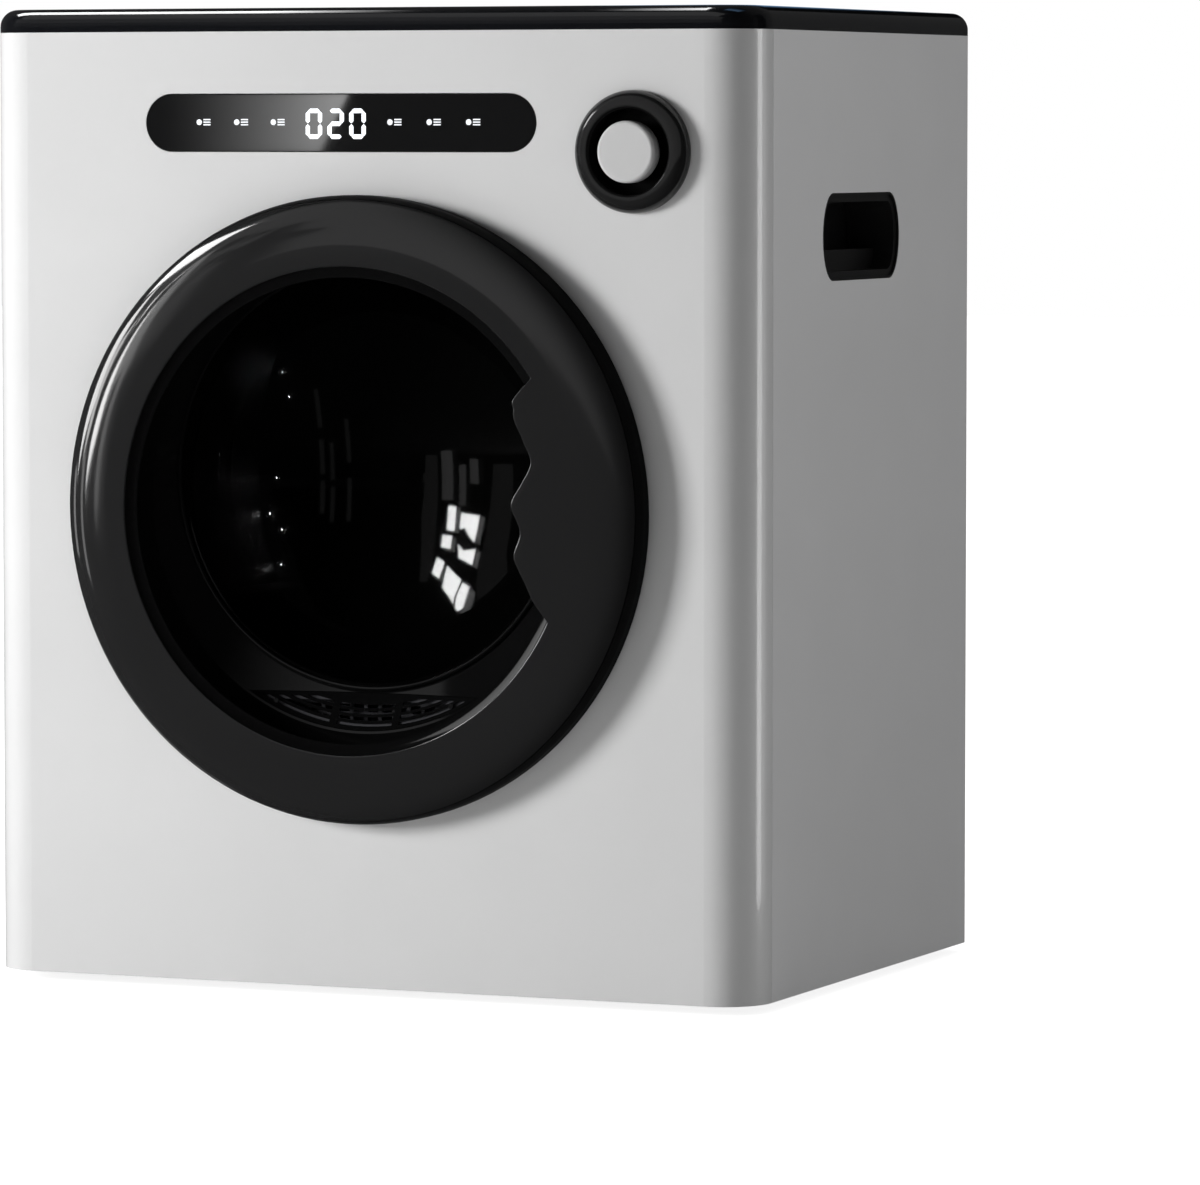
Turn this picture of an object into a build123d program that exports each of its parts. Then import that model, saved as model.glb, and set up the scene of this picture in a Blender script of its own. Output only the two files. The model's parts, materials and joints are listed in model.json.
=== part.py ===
from build123d import *
import os
from math import acos, atan2, cos, hypot, radians, sin, sqrt

# Portable clothes dryer, in millimetres. X runs to the right as seen from the front, Y runs back
# from the door, Z is up. The origin is at the feet, under the middle of the whole object.
# A depth is a distance behind the flat front of the cabinet, so what stands proud has a minus.

# cabinet
BODY_W = 430.0
BODY_D = 320.0
BODY_H = 500.0
FOOT_H = 5.0
LID_H = 12.0
FRONT_R = 26.0
REAR_R = 12.0
LID_ROUND = 9.0
SHELL_WALL = 2.4
STEEL = 1.2
SHELL_DEPTH = 27.0
GAP = 0.3
DOOR_PROUD = 20.0
REAR_PROUD = 8.0
FRONT = DOOR_PROUD - (DOOR_PROUD + BODY_D + REAR_PROUD) / 2
TOP = FOOT_H + BODY_H
LID_Z = TOP - LID_H
HALF_W = BODY_W / 2
TRAY_Z = 8.0
TRAY_LIP = 22.0
RETURN_W = 24.0
PLATE_HALF = 187.0
INLET_X = -155.0
SCREW_HOLE_R = 2.3
SCREW_R = 2.1
BOARD_POST_R = 3.5

# door, measured from its own centre
DOOR_Z = 250.0
DOOR_R = 160.0
DOOR_ROUND = 12.0
DOOR_BACK = -1.6
DOOR_WALL = 2.8
WEB = 2.4
WINDOW_R = 124.0
GROOVE_FROM = 55.0
GROOVE_TO = 58.0
OPENING_R = 136.0
PLUG_R = 131.0
PLUG_DEPTH = 18.5
SKIRT_R = 141.0

# dish: an upright mouth, a waist and the seat of the bowl, each with its own centre height
MOUTH_DEPTH = -17.2
WAIST_R = 118.5
WAIST_Z = 254.0
WAIST_DEPTH = 2.0
SEAT_R = 108.5
SEAT_Z = 266.0
SEAT_DEPTH = 14.0
DISH_WALL = 2.4
BEAD_R = 1.2

# bowl, measured from the seat's centre height
BOWL_WALL = 3.0
BOWL_FLANGE_R = 112.0
BOWL_RIM_R = 78.0
BOWL_RIM_DEPTH = 58.0
BOWL_RISE = 11.0

# filter cover: the foot of the dish below a level line
COVER_R = 117.0
COVER_TOP = 155.5
SLOT_W = 1.6
SLOT_PITCH = 3.1
SLOT_ROWS = 4
SLOT_EDGE = 1.8
RIB_X = 17.5
RIB_W = 4.0
CATCH_R = 1.3

# hinge at the left of the door
HINGE_X = -148.0
HINGE_DEPTH = -13.0
PIN_R = 2.0
RUN = 0.05
SWEEP_R = 12.5
KNUCKLE_R = 4.1
KNUCKLE_HALF = 14.0
ARM_Z0 = 15.0
ARM_Z1 = 27.0
ARM_X = -134.0
ARM_T = 3.5
HINGE_HALF = 32.0

# display and selector
PILL_W = 218.2
PILL_H = 29.2
PILL_X = -11.2
PILL_Z = 446.5
PILL_FACE = -0.4
DIGIT_W = 9.2
DIGIT_H = 15.4
DIGIT_STROKE = 2.3
DIGIT_SPLIT = 0.2
DIGIT_PITCH = 12.2
KNOB_X = 151.0
KNOB_Z = 432.0
BEZEL_R = 30.8
WELL_R = 21.5
BEZEL_H = 8.5
BEZEL_EDGE = 1.6
CREST_R = 23.4
CAP_R = 15.5
CAP_FACE = -11.5
CAP_ROUND = 2.0
CAP_TAPER = -4.0
CAP_FOOT_R = 13.4
CAP_FOOT = 2.0
ENCODER_R = 3.0
WELL_FLOOR = 4.0

# drum, belt and motor
DRUM_Z = 258.0
DRUM_R = 178.0
SHEET = 1.0
DRUM_D0 = 50.8
DRUM_D1 = 249.6
THROAT_R = 118.0
THROAT_D1 = 48.0
LAND_DEPTH = 24.0
NECK_R = 123.2
REAR_WALL = 256.0
AXLE_R = 8.0
MOTOR_X = 140.0
MOTOR_Z = 75.0
MOTOR_R = 38.0
SHAFT_R = 5.0
PULLEY_R = 8.0
BELT_D0 = 95.0
BELT_D1 = 103.0
BELT_T = 2.0
BELT_GAP = 0.35
IDLER_R = 11.0
PIVOT_X = 31.0
PIVOT_Z = 40.0

# air path
FAN_R = 54.0
AIR_D0 = 260.0
AIR_D1 = 294.0
DUCT_WALL = 2.0
DUCT_X = 194.0
DUCT_Z0 = 300.0
DUCT_Z1 = 380.0

# carry handles in the sides
GRIP_DEPTH = 151.0
GRIP_Z = 388.3
GRIP_FLAT = 81.0
GRIP_END = 14.5
GRIP_H = 44.8
GRIP_IN = 30.0
CUP_WALL = 2.4
LIP_W = 4.4
LIP_SUNK = 1.2
LEDGE_IN = 12.0
LEDGE_Z = 381.2


def block(x0, x1, d0, d1, z0, z1):
    """Box between two X, two depths and two heights."""
    middle = Pos((x0 + x1) / 2, FRONT + (d0 + d1) / 2, (z0 + z1) / 2)
    return middle * Box(x1 - x0, d1 - d0, z1 - z0)


def bar(radius, d0, d1, x, z):
    """Round bar that runs back from one depth to another."""
    return Pos(x, FRONT + (d0 + d1) / 2, z) * (Rot(90, 0, 0) * Cylinder(radius, d1 - d0))


def post(radius, x, depth, z0, z1):
    """Upright round bar."""
    return Pos(x, FRONT + depth, (z0 + z1) / 2) * Cylinder(radius, z1 - z0)


def turned(points, x, z):
    """Ring turned about a level axis from (radius, depth) corners."""
    outline = Polyline(*[(r, FRONT + d) for r, d in points], close=True)
    return Pos(x, 0, z) * revolve(make_face(outline), Axis.Y)


def back_from(sketch, d0, d1):
    """Outline drawn in X and height, carried from one depth to another."""
    start = Plane((0, FRONT + d1, 0), x_dir=(1, 0, 0), z_dir=(0, -1, 0))
    return extrude(start * sketch, d1 - d0)


def column(inset, d0, d1, z0, z1, front_r, rear_r):
    """Upright block as wide as the body less an inset, with its four corners rounded."""
    body = block(inset - HALF_W, HALF_W - inset, d0, d1, z0, z1)
    uprights = body.edges().filter_by(Axis.Z).sort_by(Axis.Y)
    body = fillet(uprights[:2], front_r)
    uprights = body.edges().filter_by(Axis.Z).sort_by(Axis.Y)
    return fillet(uprights[-2:], rear_r)


def joined(shapes):
    """One node of several separate or touching solids."""
    total = shapes[0]
    for shape in shapes[1:]:
        total = total + shape
    return total


def save(node, shape):
    """Write one node."""
    export_step(shape, f"parts/{node}.step")


# cabinet


def hull_outside():
    return column(0, 0, BODY_D, FOOT_H, LID_Z, FRONT_R, REAR_R)


def front_shell():
    """Moulded front that wraps round both front corners, with the door, knob and display holes."""
    outside = hull_outside()
    inside = column(SHELL_WALL, SHELL_WALL, BODY_D - SHELL_WALL, 0, TOP, FRONT_R - SHELL_WALL, REAR_R)
    keep = block(-HALF_W - 1, HALF_W + 1, -1, SHELL_DEPTH, 0, TOP)
    shell = (outside - inside) & keep
    shell -= bar(OPENING_R, -2, 6, 0, DOOR_Z)
    shell -= hinge_slot(-1, 6)
    shell -= bar(BEZEL_R - 6, -2, 6, KNOB_X, KNOB_Z)
    shell -= back_from(pill(GAP), -2, 6)
    return shell


def hinge_slot(d0, d1):
    """Room at the left of the door opening for the hinge arms."""
    reach = ARM_Z1 + 6.5
    return block(ARM_X - 5, -OPENING_R + 12, d0, d1, DOOR_Z - reach, DOOR_Z + reach)


def side_panel(side):
    """Steel side with its rounded rear corner and a return at the back."""
    outside = hull_outside()
    inside = column(STEEL, STEEL, BODY_D - STEEL, 0, TOP, FRONT_R - STEEL, REAR_R - STEEL)
    x0, x1 = sorted((side * (HALF_W - RETURN_W), side * (HALF_W + 1)))
    keep = block(x0, x1, SHELL_DEPTH + GAP, BODY_D + 1, 0, TOP)
    panel = (outside - inside) & keep
    return panel - grip_prism(side, 0, HALF_W - 5, HALF_W + 5)


def grip_outline(inset):
    """Hand hole with flat top and bottom edges and half-ellipse ends."""
    half = GRIP_FLAT / 2
    tall = GRIP_H / 2 - inset
    end = GRIP_END - inset
    ends = Pos(half, 0) * Ellipse(end, tall) + Pos(-half, 0) * Ellipse(end, tall)
    return ends + Rectangle(GRIP_FLAT, 2 * tall)


def grip_prism(side, inset, x0, x1):
    """The hand hole's outline carried across the side, between two distances from the middle."""
    start = Plane((side * x0, FRONT + GRIP_DEPTH, GRIP_Z), x_dir=(0, side, 0), z_dir=(side, 0, 0))
    return extrude(start * grip_outline(inset), x1 - x0)


def below(z):
    """Everything near the hand holes under a height."""
    return block(-HALF_W - 9, HALF_W + 9, GRIP_DEPTH - 80, GRIP_DEPTH + 80, GRIP_Z - 40, z)


def handle_cup(side):
    """Cup that lines the hand hole: sunk lip, deep upper hollow, ledge below, flange behind the steel."""
    inner_face = HALF_W - STEEL
    back = HALF_W - GRIP_IN
    hollow = GAP + LIP_W
    cup = grip_prism(side, hollow - CUP_WALL, back, inner_face)
    cup += grip_prism(side, GAP, inner_face - 2 * CUP_WALL, HALF_W)
    cup += grip_prism(side, -6, inner_face - 2, inner_face)
    cup -= grip_prism(side, 4 * GAP, HALF_W - LIP_SUNK, HALF_W + 1)
    cup -= grip_prism(side, hollow, back + CUP_WALL, HALF_W + 1)
    cup += grip_prism(side, hollow - 1, back, HALF_W - LEDGE_IN) & below(LEDGE_Z)
    room = grip_prism(side, hollow + CUP_WALL, back - 1, HALF_W - LEDGE_IN - CUP_WALL)
    return cup - (room & below(LEDGE_Z - CUP_WALL))


def top_lid():
    """Gloss plate with a rounded-over edge, hollow underneath."""
    lid = column(0, 0, BODY_D, LID_Z, TOP, FRONT_R, REAR_R)
    rim = lid.faces().sort_by(Axis.Z)[-1].edges()
    lid = fillet(rim, LID_ROUND)
    wall = 3.5
    return lid - column(wall, wall, BODY_D - wall, LID_Z - 1, TOP - wall, FRONT_R - wall, REAR_R - wall)


def base_tray():
    """Steel tray inside the shells, with an upturned edge and holes for feet and bolts."""
    inset = SHELL_WALL + GAP
    floor = TRAY_Z - STEEL
    rear = BODY_D - 4
    tray = column(inset, inset, rear, floor, floor + TRAY_LIP, FRONT_R - inset, REAR_R - inset)
    room = inset + STEEL
    tray -= column(room, room, rear - STEEL, TRAY_Z, TOP, FRONT_R - room, REAR_R - room)
    for x, depth in foot_places():
        tray -= post(4.1, x, depth, 0, TRAY_Z + 1)
    for x, depth in motor_bolt_places():
        tray -= post(SCREW_HOLE_R, x, depth, 0, TRAY_Z + 1)
    return tray


def foot_places():
    return [(x, depth) for x in (-165, 165) for depth in (60, 268)]


def feet():
    """Rubber pads with a push-in stud."""
    pads = []
    for x, depth in foot_places():
        pad = post(14, x, depth, 0, TRAY_Z - STEEL)
        pad = fillet(pad.edges().sort_by(Axis.Z)[0], 1.5)
        pads.append(pad + post(4, x, depth, TRAY_Z - STEEL, TRAY_Z + 2))
    return joined(pads)


def rear_panel():
    """Flat steel sheet inside the side returns, open behind the intake and at the power inlet."""
    half = HALF_W - REAR_R - 0.6
    d0 = BODY_D - 2 * STEEL
    sheet = block(-half, half, d0, BODY_D - STEEL, TRAY_Z + 2, LID_Z - 1)
    sheet -= block(MOTOR_X - 45, MOTOR_X + 45, d0 - 1, BODY_D, MOTOR_Z - 40, MOTOR_Z + 46)
    sheet -= inlet_block(GAP, d0 - 1, BODY_D)
    for x, z in rear_screw_places():
        sheet -= bar(SCREW_HOLE_R, d0 - 1, BODY_D, x, z)
    return sheet


def rear_screw_places():
    edge = HALF_W - RETURN_W / 2 - 5
    return [(x, z) for x in (-edge, edge) for z in (60, 200, 340, 470)]


def rear_screws():
    """Pan-head screws that pass through the side returns into the rear sheet."""
    screws = []
    for x, z in rear_screw_places():
        head = bar(4.2, BODY_D + 0.05, BODY_D + 2.4, x, z)
        head = fillet(head.edges().sort_by(Axis.Y)[-1], 1.0)
        screws.append(head + bar(SCREW_R, BODY_D - 10, BODY_D + 1, x, z))
    return joined(screws)


def with_return_holes(panel, side):
    """Side panel drilled for the rear screws."""
    for x, z in rear_screw_places():
        if x * side > 0:
            panel -= bar(SCREW_HOLE_R, BODY_D - 5, BODY_D + 1, x, z)
    return panel


def intake_grille():
    """Proud louvred cover over the fan intake."""
    half = 50.0
    low, high = MOTOR_Z - 45, MOTOR_Z + 51
    face = BODY_D + REAR_PROUD
    cover = block(MOTOR_X - half, MOTOR_X + half, BODY_D - STEEL, face, low, high)
    cover = fillet(cover.edges().filter_by(Axis.Y), 8)
    cover = fillet(cover.faces().sort_by(Axis.Y)[-1].edges(), 2.5)
    cover -= block(MOTOR_X - half + 3, MOTOR_X + half - 3, 0, face - 3, low + 3, high - 3)
    for row in range(9):
        z = low + 12 + 9 * row
        for x0, x1 in ((MOTOR_X - 42, MOTOR_X - 2), (MOTOR_X + 2, MOTOR_X + 42)):
            cover -= block(x0, x1, face - 5, face + 1, z - 2.5, z + 2.5)
    return cover


def inlet_block(grow, d0, d1):
    return block(INLET_X - 25 - grow, INLET_X + 25 + grow, d0, d1, 40 - grow, 68 + grow)


def power_inlet():
    """Mains inlet with its socket and two flat pins."""
    inlet = inlet_block(0, BODY_D - 24, BODY_D - STEEL)
    inlet += block(INLET_X - 29, INLET_X + 29, BODY_D - STEEL, BODY_D + 1, 36, 72)
    inlet -= block(INLET_X - 16, INLET_X + 16, BODY_D - 18, BODY_D + 2, 45, 63)
    for x in (INLET_X - 7, INLET_X + 7):
        inlet += block(x - 1, x + 1, BODY_D - 19, BODY_D - 4, 51, 57)
    return inlet


# display and selector


def pill(grow):
    """Display outline, drawn in X and height."""
    height = PILL_H + 2 * grow
    return Pos(PILL_X, PILL_Z) * SlotOverall(PILL_W + 2 * grow, height)


def display_window():
    """Dark glass pill, a little proud of the shell, with a softened edge."""
    glass = back_from(pill(0), PILL_FACE, 2.0)
    return fillet(glass.faces().sort_by(Axis.Y)[0].edges(), 0.3)


LIT = {"0": "abcdef", "2": "abged"}


def segment(length):
    """Bar with pointed ends, lying level."""
    half, stroke = length / 2 - DIGIT_SPLIT, DIGIT_STROKE / 2
    lower = [(-half, 0), (stroke - half, -stroke), (half - stroke, -stroke), (half, 0)]
    upper = [(half - stroke, stroke), (stroke - half, stroke)]
    return Polygon(*lower, *upper, align=None)


def digit(text, x):
    """Lit segments of one seven-segment figure."""
    half_w = DIGIT_W / 2 - DIGIT_STROKE / 2
    arm = DIGIT_H / 2 - DIGIT_STROKE / 2
    flat = segment(2 * half_w)
    tall = Rot(0, 0, 90) * segment(arm)
    places = {
        "a": (0, arm, flat),
        "g": (0, 0, flat),
        "d": (0, -arm, flat),
        "b": (half_w, arm / 2, tall),
        "c": (half_w, -arm / 2, tall),
        "e": (-half_w, -arm / 2, tall),
        "f": (-half_w, arm / 2, tall),
    }
    bars = []
    for name in LIT[text]:
        dx, dz, shape = places[name]
        place = Pos(x + dx, PILL_Z - 0.5 + dz)
        bars.append(back_from(place * shape, PILL_FACE - 0.2, PILL_FACE))
    return bars


def display_digits():
    """Three lit figures."""
    bars = []
    for place, text in enumerate("020"):
        bars += digit(text, PILL_X - 1.6 + DIGIT_PITCH * (place - 1))
    return joined(bars)


def display_icons():
    """Six small plain marks, three each side of the figures."""
    marks = []
    for x in (-87.5, -66.2, -45.5, 19.9, 41.7, 63.5):
        marks.append(bar(1.5, PILL_FACE - 0.2, PILL_FACE, x - 2.4, PILL_Z + 0.3))
        for row in (-1, 0, 1):
            z = PILL_Z + 0.3 + 1.3 * row
            marks.append(block(x, x + 4, PILL_FACE - 0.2, PILL_FACE, z - 0.35, z + 0.35))
    return joined(marks)


def display_board():
    """Circuit board behind the glass and the selector, with the figure module."""
    board = block(-118, 170, 15, 16.6, 418, 458)
    board += block(-36, 11, 2.4, 15, PILL_Z - 11, PILL_Z + 11)
    for x in (-110, 110):
        board += bar(BOARD_POST_R, SHELL_WALL, 15, x, 424)
    return board


def knob_bezel():
    """Ring that rises in a quarter round to its crest, with the well of the selector behind it."""
    share = sin(radians(45))
    crest = (CREST_R, FRONT - BEZEL_H)
    edge = (BEZEL_R, FRONT - BEZEL_EDGE)
    middle = (CREST_R + share * (BEZEL_R - CREST_R), FRONT - BEZEL_EDGE - share * (BEZEL_H - BEZEL_EDGE))
    lip_r = CREST_R - WELL_R
    lip = (WELL_R, FRONT - BEZEL_H + lip_r)
    lip_middle = (CREST_R - share * lip_r, FRONT - BEZEL_H + (1 - share) * lip_r)
    outline = [
        Line(lip, (WELL_R, FRONT + WELL_FLOOR)),
        Line((WELL_R, FRONT + WELL_FLOOR), (5, FRONT + WELL_FLOOR)),
        Line((5, FRONT + WELL_FLOOR), (5, FRONT + WELL_FLOOR + 1.6)),
        Line((5, FRONT + WELL_FLOOR + 1.6), (WELL_R + 2, FRONT + WELL_FLOOR + 1.6)),
        Line((WELL_R + 2, FRONT + WELL_FLOOR + 1.6), (WELL_R + 2, FRONT)),
        Line((WELL_R + 2, FRONT), (BEZEL_R, FRONT)),
        Line((BEZEL_R, FRONT), edge),
        ThreePointArc(edge, middle, crest),
        ThreePointArc(crest, lip_middle, lip),
    ]
    ring = revolve(make_face(outline), Axis.Y)
    return Pos(KNOB_X, 0, KNOB_Z) * ring


def encoder_body():
    """Rotary and push encoder on the board."""
    body = block(KNOB_X - 7, KNOB_X + 7, 7, 15, KNOB_Z - 7, KNOB_Z + 7)
    return body - bar(ENCODER_R + RUN, 6, 12, KNOB_X, KNOB_Z)


def encoder_shaft():
    return bar(ENCODER_R, -4, 11.7, KNOB_X, KNOB_Z)


def knob_cap():
    """White cap with a soft front edge, a drawn-in foot and a boss that slides on the shaft."""
    wall = 2.0
    front = CAP_FACE + 3
    cap = turned(
        [
            (0, CAP_FACE),
            (CAP_R, CAP_FACE),
            (CAP_R, CAP_TAPER),
            (CAP_FOOT_R, CAP_FOOT),
            (CAP_FOOT_R - wall, CAP_FOOT),
            (CAP_R - wall, CAP_TAPER),
            (CAP_R - wall, front),
            (0, front),
        ],
        KNOB_X,
        KNOB_Z,
    )
    cap = fillet(cap.faces().sort_by(Axis.Y)[0].edges(), CAP_ROUND)
    cap += bar(6, front - 0.5, 1, KNOB_X, KNOB_Z)
    return cap - bar(ENCODER_R + RUN, -5.8, 3, KNOB_X, KNOB_Z)


def coil(radius, wire, pitch, turns):
    """Open spring along Z from height zero, made by carrying a round wire along a helix."""
    path = Helix(pitch=pitch, height=pitch * turns, radius=radius)
    section = Plane(path @ 0, z_dir=path % 0) * Circle(wire / 2)
    return sweep(section, path=path)


def knob_spring():
    """Spring between the cap and the floor of the well."""
    spring = coil(9.0, 0.8, 2.8, 4)
    return Pos(KNOB_X, FRONT + WELL_FLOOR - 0.5, KNOB_Z) * (Rot(90, 0, 0) * spring)


# drum and its supports


def front_bulkhead():
    """Moulding behind the front: plate, door pocket, land for the seal and throat of the drum."""
    d0 = SHELL_WALL + 0.8
    plate = block(-PLATE_HALF, PLATE_HALF, d0, d0 + WEB, TRAY_Z + TRAY_LIP, 402)
    plate -= bar(OPENING_R + 0.5, d0 - 1, d0 + 4, 0, DOOR_Z)
    wall = OPENING_R + 0.5
    pocket = turned([(wall, d0), (wall + 2, d0), (wall + 2, LAND_DEPTH), (wall, LAND_DEPTH)], 0, DOOR_Z)
    land = bar(wall + 2, LAND_DEPTH, LAND_DEPTH + WEB, 0, DOOR_Z)
    land -= bar(THROAT_R, LAND_DEPTH - 1, LAND_DEPTH + 4, 0, DRUM_Z)
    throat = turned(
        [
            (THROAT_R, LAND_DEPTH),
            (THROAT_R + WEB, LAND_DEPTH),
            (THROAT_R + WEB, THROAT_D1),
            (THROAT_R, THROAT_D1),
        ],
        0,
        DRUM_Z,
    )
    bulkhead = plate + pocket + land + throat
    bulkhead -= hinge_slot(d0 - 1, d0 + 6)
    for z in hinge_screw_heights():
        bulkhead -= bar(2, d0 - 1, d0 + 4, HINGE_X - 6, z)
    return bulkhead


def front_felt():
    """Felt slide round the throat, where the neck of the drum runs."""
    r0 = THROAT_R + WEB
    r1 = NECK_R - 0.35
    return turned([(r0, 39), (r1, 39), (r1, 47.5), (r0, 47.5)], 0, DRUM_Z)


def drum_shell():
    """Steel drum with its front plate and neck."""
    inner = DRUM_R - SHEET
    return turned(
        [
            (NECK_R, DRUM_D0 - 11),
            (NECK_R + SHEET, DRUM_D0 - 11),
            (NECK_R + SHEET, DRUM_D0),
            (DRUM_R, DRUM_D0),
            (DRUM_R, DRUM_D1),
            (inner, DRUM_D1),
            (inner, DRUM_D0 + SHEET),
            (NECK_R, DRUM_D0 + SHEET),
        ],
        0,
        DRUM_Z,
    )


def drum_back():
    """Perforated disc that closes the drum."""
    disc = bar(DRUM_R - SHEET - 0.1, DRUM_D1 - 1.6, DRUM_D1, 0, DRUM_Z)
    holes = []
    for radius, count in ((56, 12), (82, 18), (108, 24), (134, 30)):
        for k in range(count):
            turn = radians(360 * (k + 0.5) / count)
            x, z = radius * cos(turn), DRUM_Z + radius * sin(turn)
            holes.append(bar(3.2, DRUM_D1 - 3, DRUM_D1 + 1, x, z))
    return disc - holes


def drum_lifters():
    """Three hollow vanes along the wall of the drum."""
    inner = DRUM_R - SHEET - 0.05
    d0, d1 = DRUM_D0 + 12, DRUM_D1 - 12
    bore = bar(inner, d0, d1, 0, DRUM_Z)
    vanes = []
    for turn in (90, 210, 330):
        section = Polygon((-24, 0), (24, 0), (24, 12), (9, 40), (-9, 40), (-24, 12), align=None)
        vane = back_from(Pos(0, -inner - 2) * section, d0, d1)
        vane = fillet(vane.edges().filter_by(Axis.Y).sort_by(Axis.Z)[-2:], 5)
        vane = Pos(0, 0, DRUM_Z) * (Rot(0, turn + 90, 0) * vane)
        vanes.append(vane & bore)
    return joined(vanes)


def drum_axle():
    """Flanged stub axle behind the drum with its retaining ring."""
    axle = bar(30, DRUM_D1, DRUM_D1 + 2.4, 0, DRUM_Z) + bar(AXLE_R, DRUM_D1, 270, 0, DRUM_Z)
    return axle + bar(12, 265.5, 267.5, 0, DRUM_Z)


def rear_bulkhead():
    """Steel wall behind the drum: bearing seat, warm air window, hole for the motor shaft."""
    wall = block(-205, 205, REAR_WALL, REAR_WALL + STEEL, TRAY_Z, 470)
    wall -= bar(16, REAR_WALL - 1, REAR_WALL + 4, 0, DRUM_Z)
    wall -= block(-70, 70, REAR_WALL - 1, REAR_WALL + 4, DUCT_Z0 + 8, DUCT_Z1 - 8)
    return wall - bar(12, REAR_WALL - 1, REAR_WALL + 4, MOTOR_X, MOTOR_Z)


def drum_bearing():
    """Bush with a flange on the rear wall."""
    return turned(
        [
            (AXLE_R + RUN, 253.5),
            (16, 253.5),
            (16, REAR_WALL + STEEL),
            (22, REAR_WALL + STEEL),
            (22, 261),
            (14, 261),
            (14, 264.5),
            (AXLE_R + RUN, 264.5),
        ],
        0,
        DRUM_Z,
    )


# motor, belt and idler


def belt_loop(drum_r, pulley_r):
    """Tight outline round the drum and the pulley."""
    circles = [Pos(0, DRUM_Z) * Circle(drum_r), Pos(MOTOR_X, MOTOR_Z) * Circle(pulley_r)]
    return make_hull([edge for circle in circles for edge in circle.edges()])


def drum_belt():
    inner = back_from(belt_loop(DRUM_R + BELT_GAP, PULLEY_R + BELT_GAP), BELT_D0 - 1, BELT_D1 + 1)
    around = BELT_GAP + BELT_T
    return back_from(belt_loop(DRUM_R + around, PULLEY_R + around), BELT_D0, BELT_D1) - inner


def idler_place():
    """Centre of the wheel under the lower run of the belt, 85 mm along from the drum."""
    away_x, away_z = MOTOR_X, MOTOR_Z - DRUM_Z
    apart = hypot(away_x, away_z)
    normal = atan2(away_z, away_x) - acos((DRUM_R - PULLEY_R) / apart)
    reach = DRUM_R + BELT_GAP + BELT_T + BELT_GAP + IDLER_R
    along = 85.0
    x = reach * cos(normal) - along * sin(normal)
    z = DRUM_Z + reach * sin(normal) + along * cos(normal)
    return x, z


def motor_body():
    body = bar(MOTOR_R, 122, 212, MOTOR_X, MOTOR_Z)
    body = fillet(body.edges().filter_by(GeomType.CIRCLE), 3)
    body += bar(26, 116, 218, MOTOR_X, MOTOR_Z)
    return body - bar(SHAFT_R + RUN, 110, 222, MOTOR_X, MOTOR_Z)


def motor_bolt_places():
    return [(x, depth) for x in (MOTOR_X - 38, MOTOR_X + 38) for depth in (142, 192)]


def motor_bracket():
    """Pressed base with two saddles under the motor and the post of the idler."""
    base = block(MOTOR_X - 44, MOTOR_X + 44, 126, 208, TRAY_Z, TRAY_Z + 2.5)
    base += block(6, MOTOR_X - 44, 108, 140, TRAY_Z, TRAY_Z + 2.5)
    for depth in (130, 200):
        base += block(MOTOR_X - 42, MOTOR_X + 42, depth, depth + 4, TRAY_Z, MOTOR_Z)
    base -= bar(MOTOR_R + 0.1, 125, 210, MOTOR_X, MOTOR_Z)
    base += block(PIVOT_X - 9, PIVOT_X + 9, 110.5, 113.5, TRAY_Z, PIVOT_Z + 8)
    base += bar(3, 104.5, 111, PIVOT_X, PIVOT_Z)
    base += block(10, 20, 108, 111, TRAY_Z, TRAY_Z + 6)
    for x, depth in motor_bolt_places():
        base -= post(SCREW_HOLE_R, x, depth, TRAY_Z - 1, TRAY_Z + 4)
    return base


def rotor_shaft():
    return bar(SHAFT_R, 88, 291, MOTOR_X, MOTOR_Z)


def motor_pulley():
    """Flanged pulley for the belt."""
    return turned(
        [
            (SHAFT_R, 91.5),
            (11, 91.5),
            (11, 94.2),
            (PULLEY_R, 94.2),
            (PULLEY_R, 103.8),
            (11, 103.8),
            (11, 106.5),
            (SHAFT_R, 106.5),
        ],
        MOTOR_X,
        MOTOR_Z,
    )


def fan_impeller():
    """Back plate with radial blades on a hub."""
    wheel = bar(12, AIR_D0 + 4, AIR_D0 + 28, MOTOR_X, MOTOR_Z)
    wheel += bar(46, AIR_D0 + 4, AIR_D0 + 6, MOTOR_X, MOTOR_Z)
    for k in range(20):
        blade = block(28, 45.5, AIR_D0 + 5, AIR_D0 + 26, -0.8, 0.8)
        wheel += Pos(MOTOR_X, 0, MOTOR_Z) * (Rot(0, 18 * k, 0) * blade)
    return wheel - bar(SHAFT_R, AIR_D0, AIR_D1, MOTOR_X, MOTOR_Z)


def fan_housing():
    """Scroll with an upward outlet at its right."""
    wall = DUCT_WALL
    top = 130.0
    case = bar(FAN_R, AIR_D0, AIR_D1, MOTOR_X, MOTOR_Z)
    case += block(MOTOR_X, DUCT_X, AIR_D0, AIR_D1, MOTOR_Z, top)
    room = bar(FAN_R - wall, AIR_D0 + wall, AIR_D1 - wall, MOTOR_X, MOTOR_Z)
    room += block(MOTOR_X + wall, DUCT_X - wall, AIR_D0 + wall, AIR_D1 - wall, MOTOR_Z, top + 1)
    case -= room
    case -= bar(36, AIR_D1 - 4, AIR_D1 + 1, MOTOR_X, MOTOR_Z)
    return case - bar(9, AIR_D0 - 1, AIR_D0 + 4, MOTOR_X, MOTOR_Z)


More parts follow.
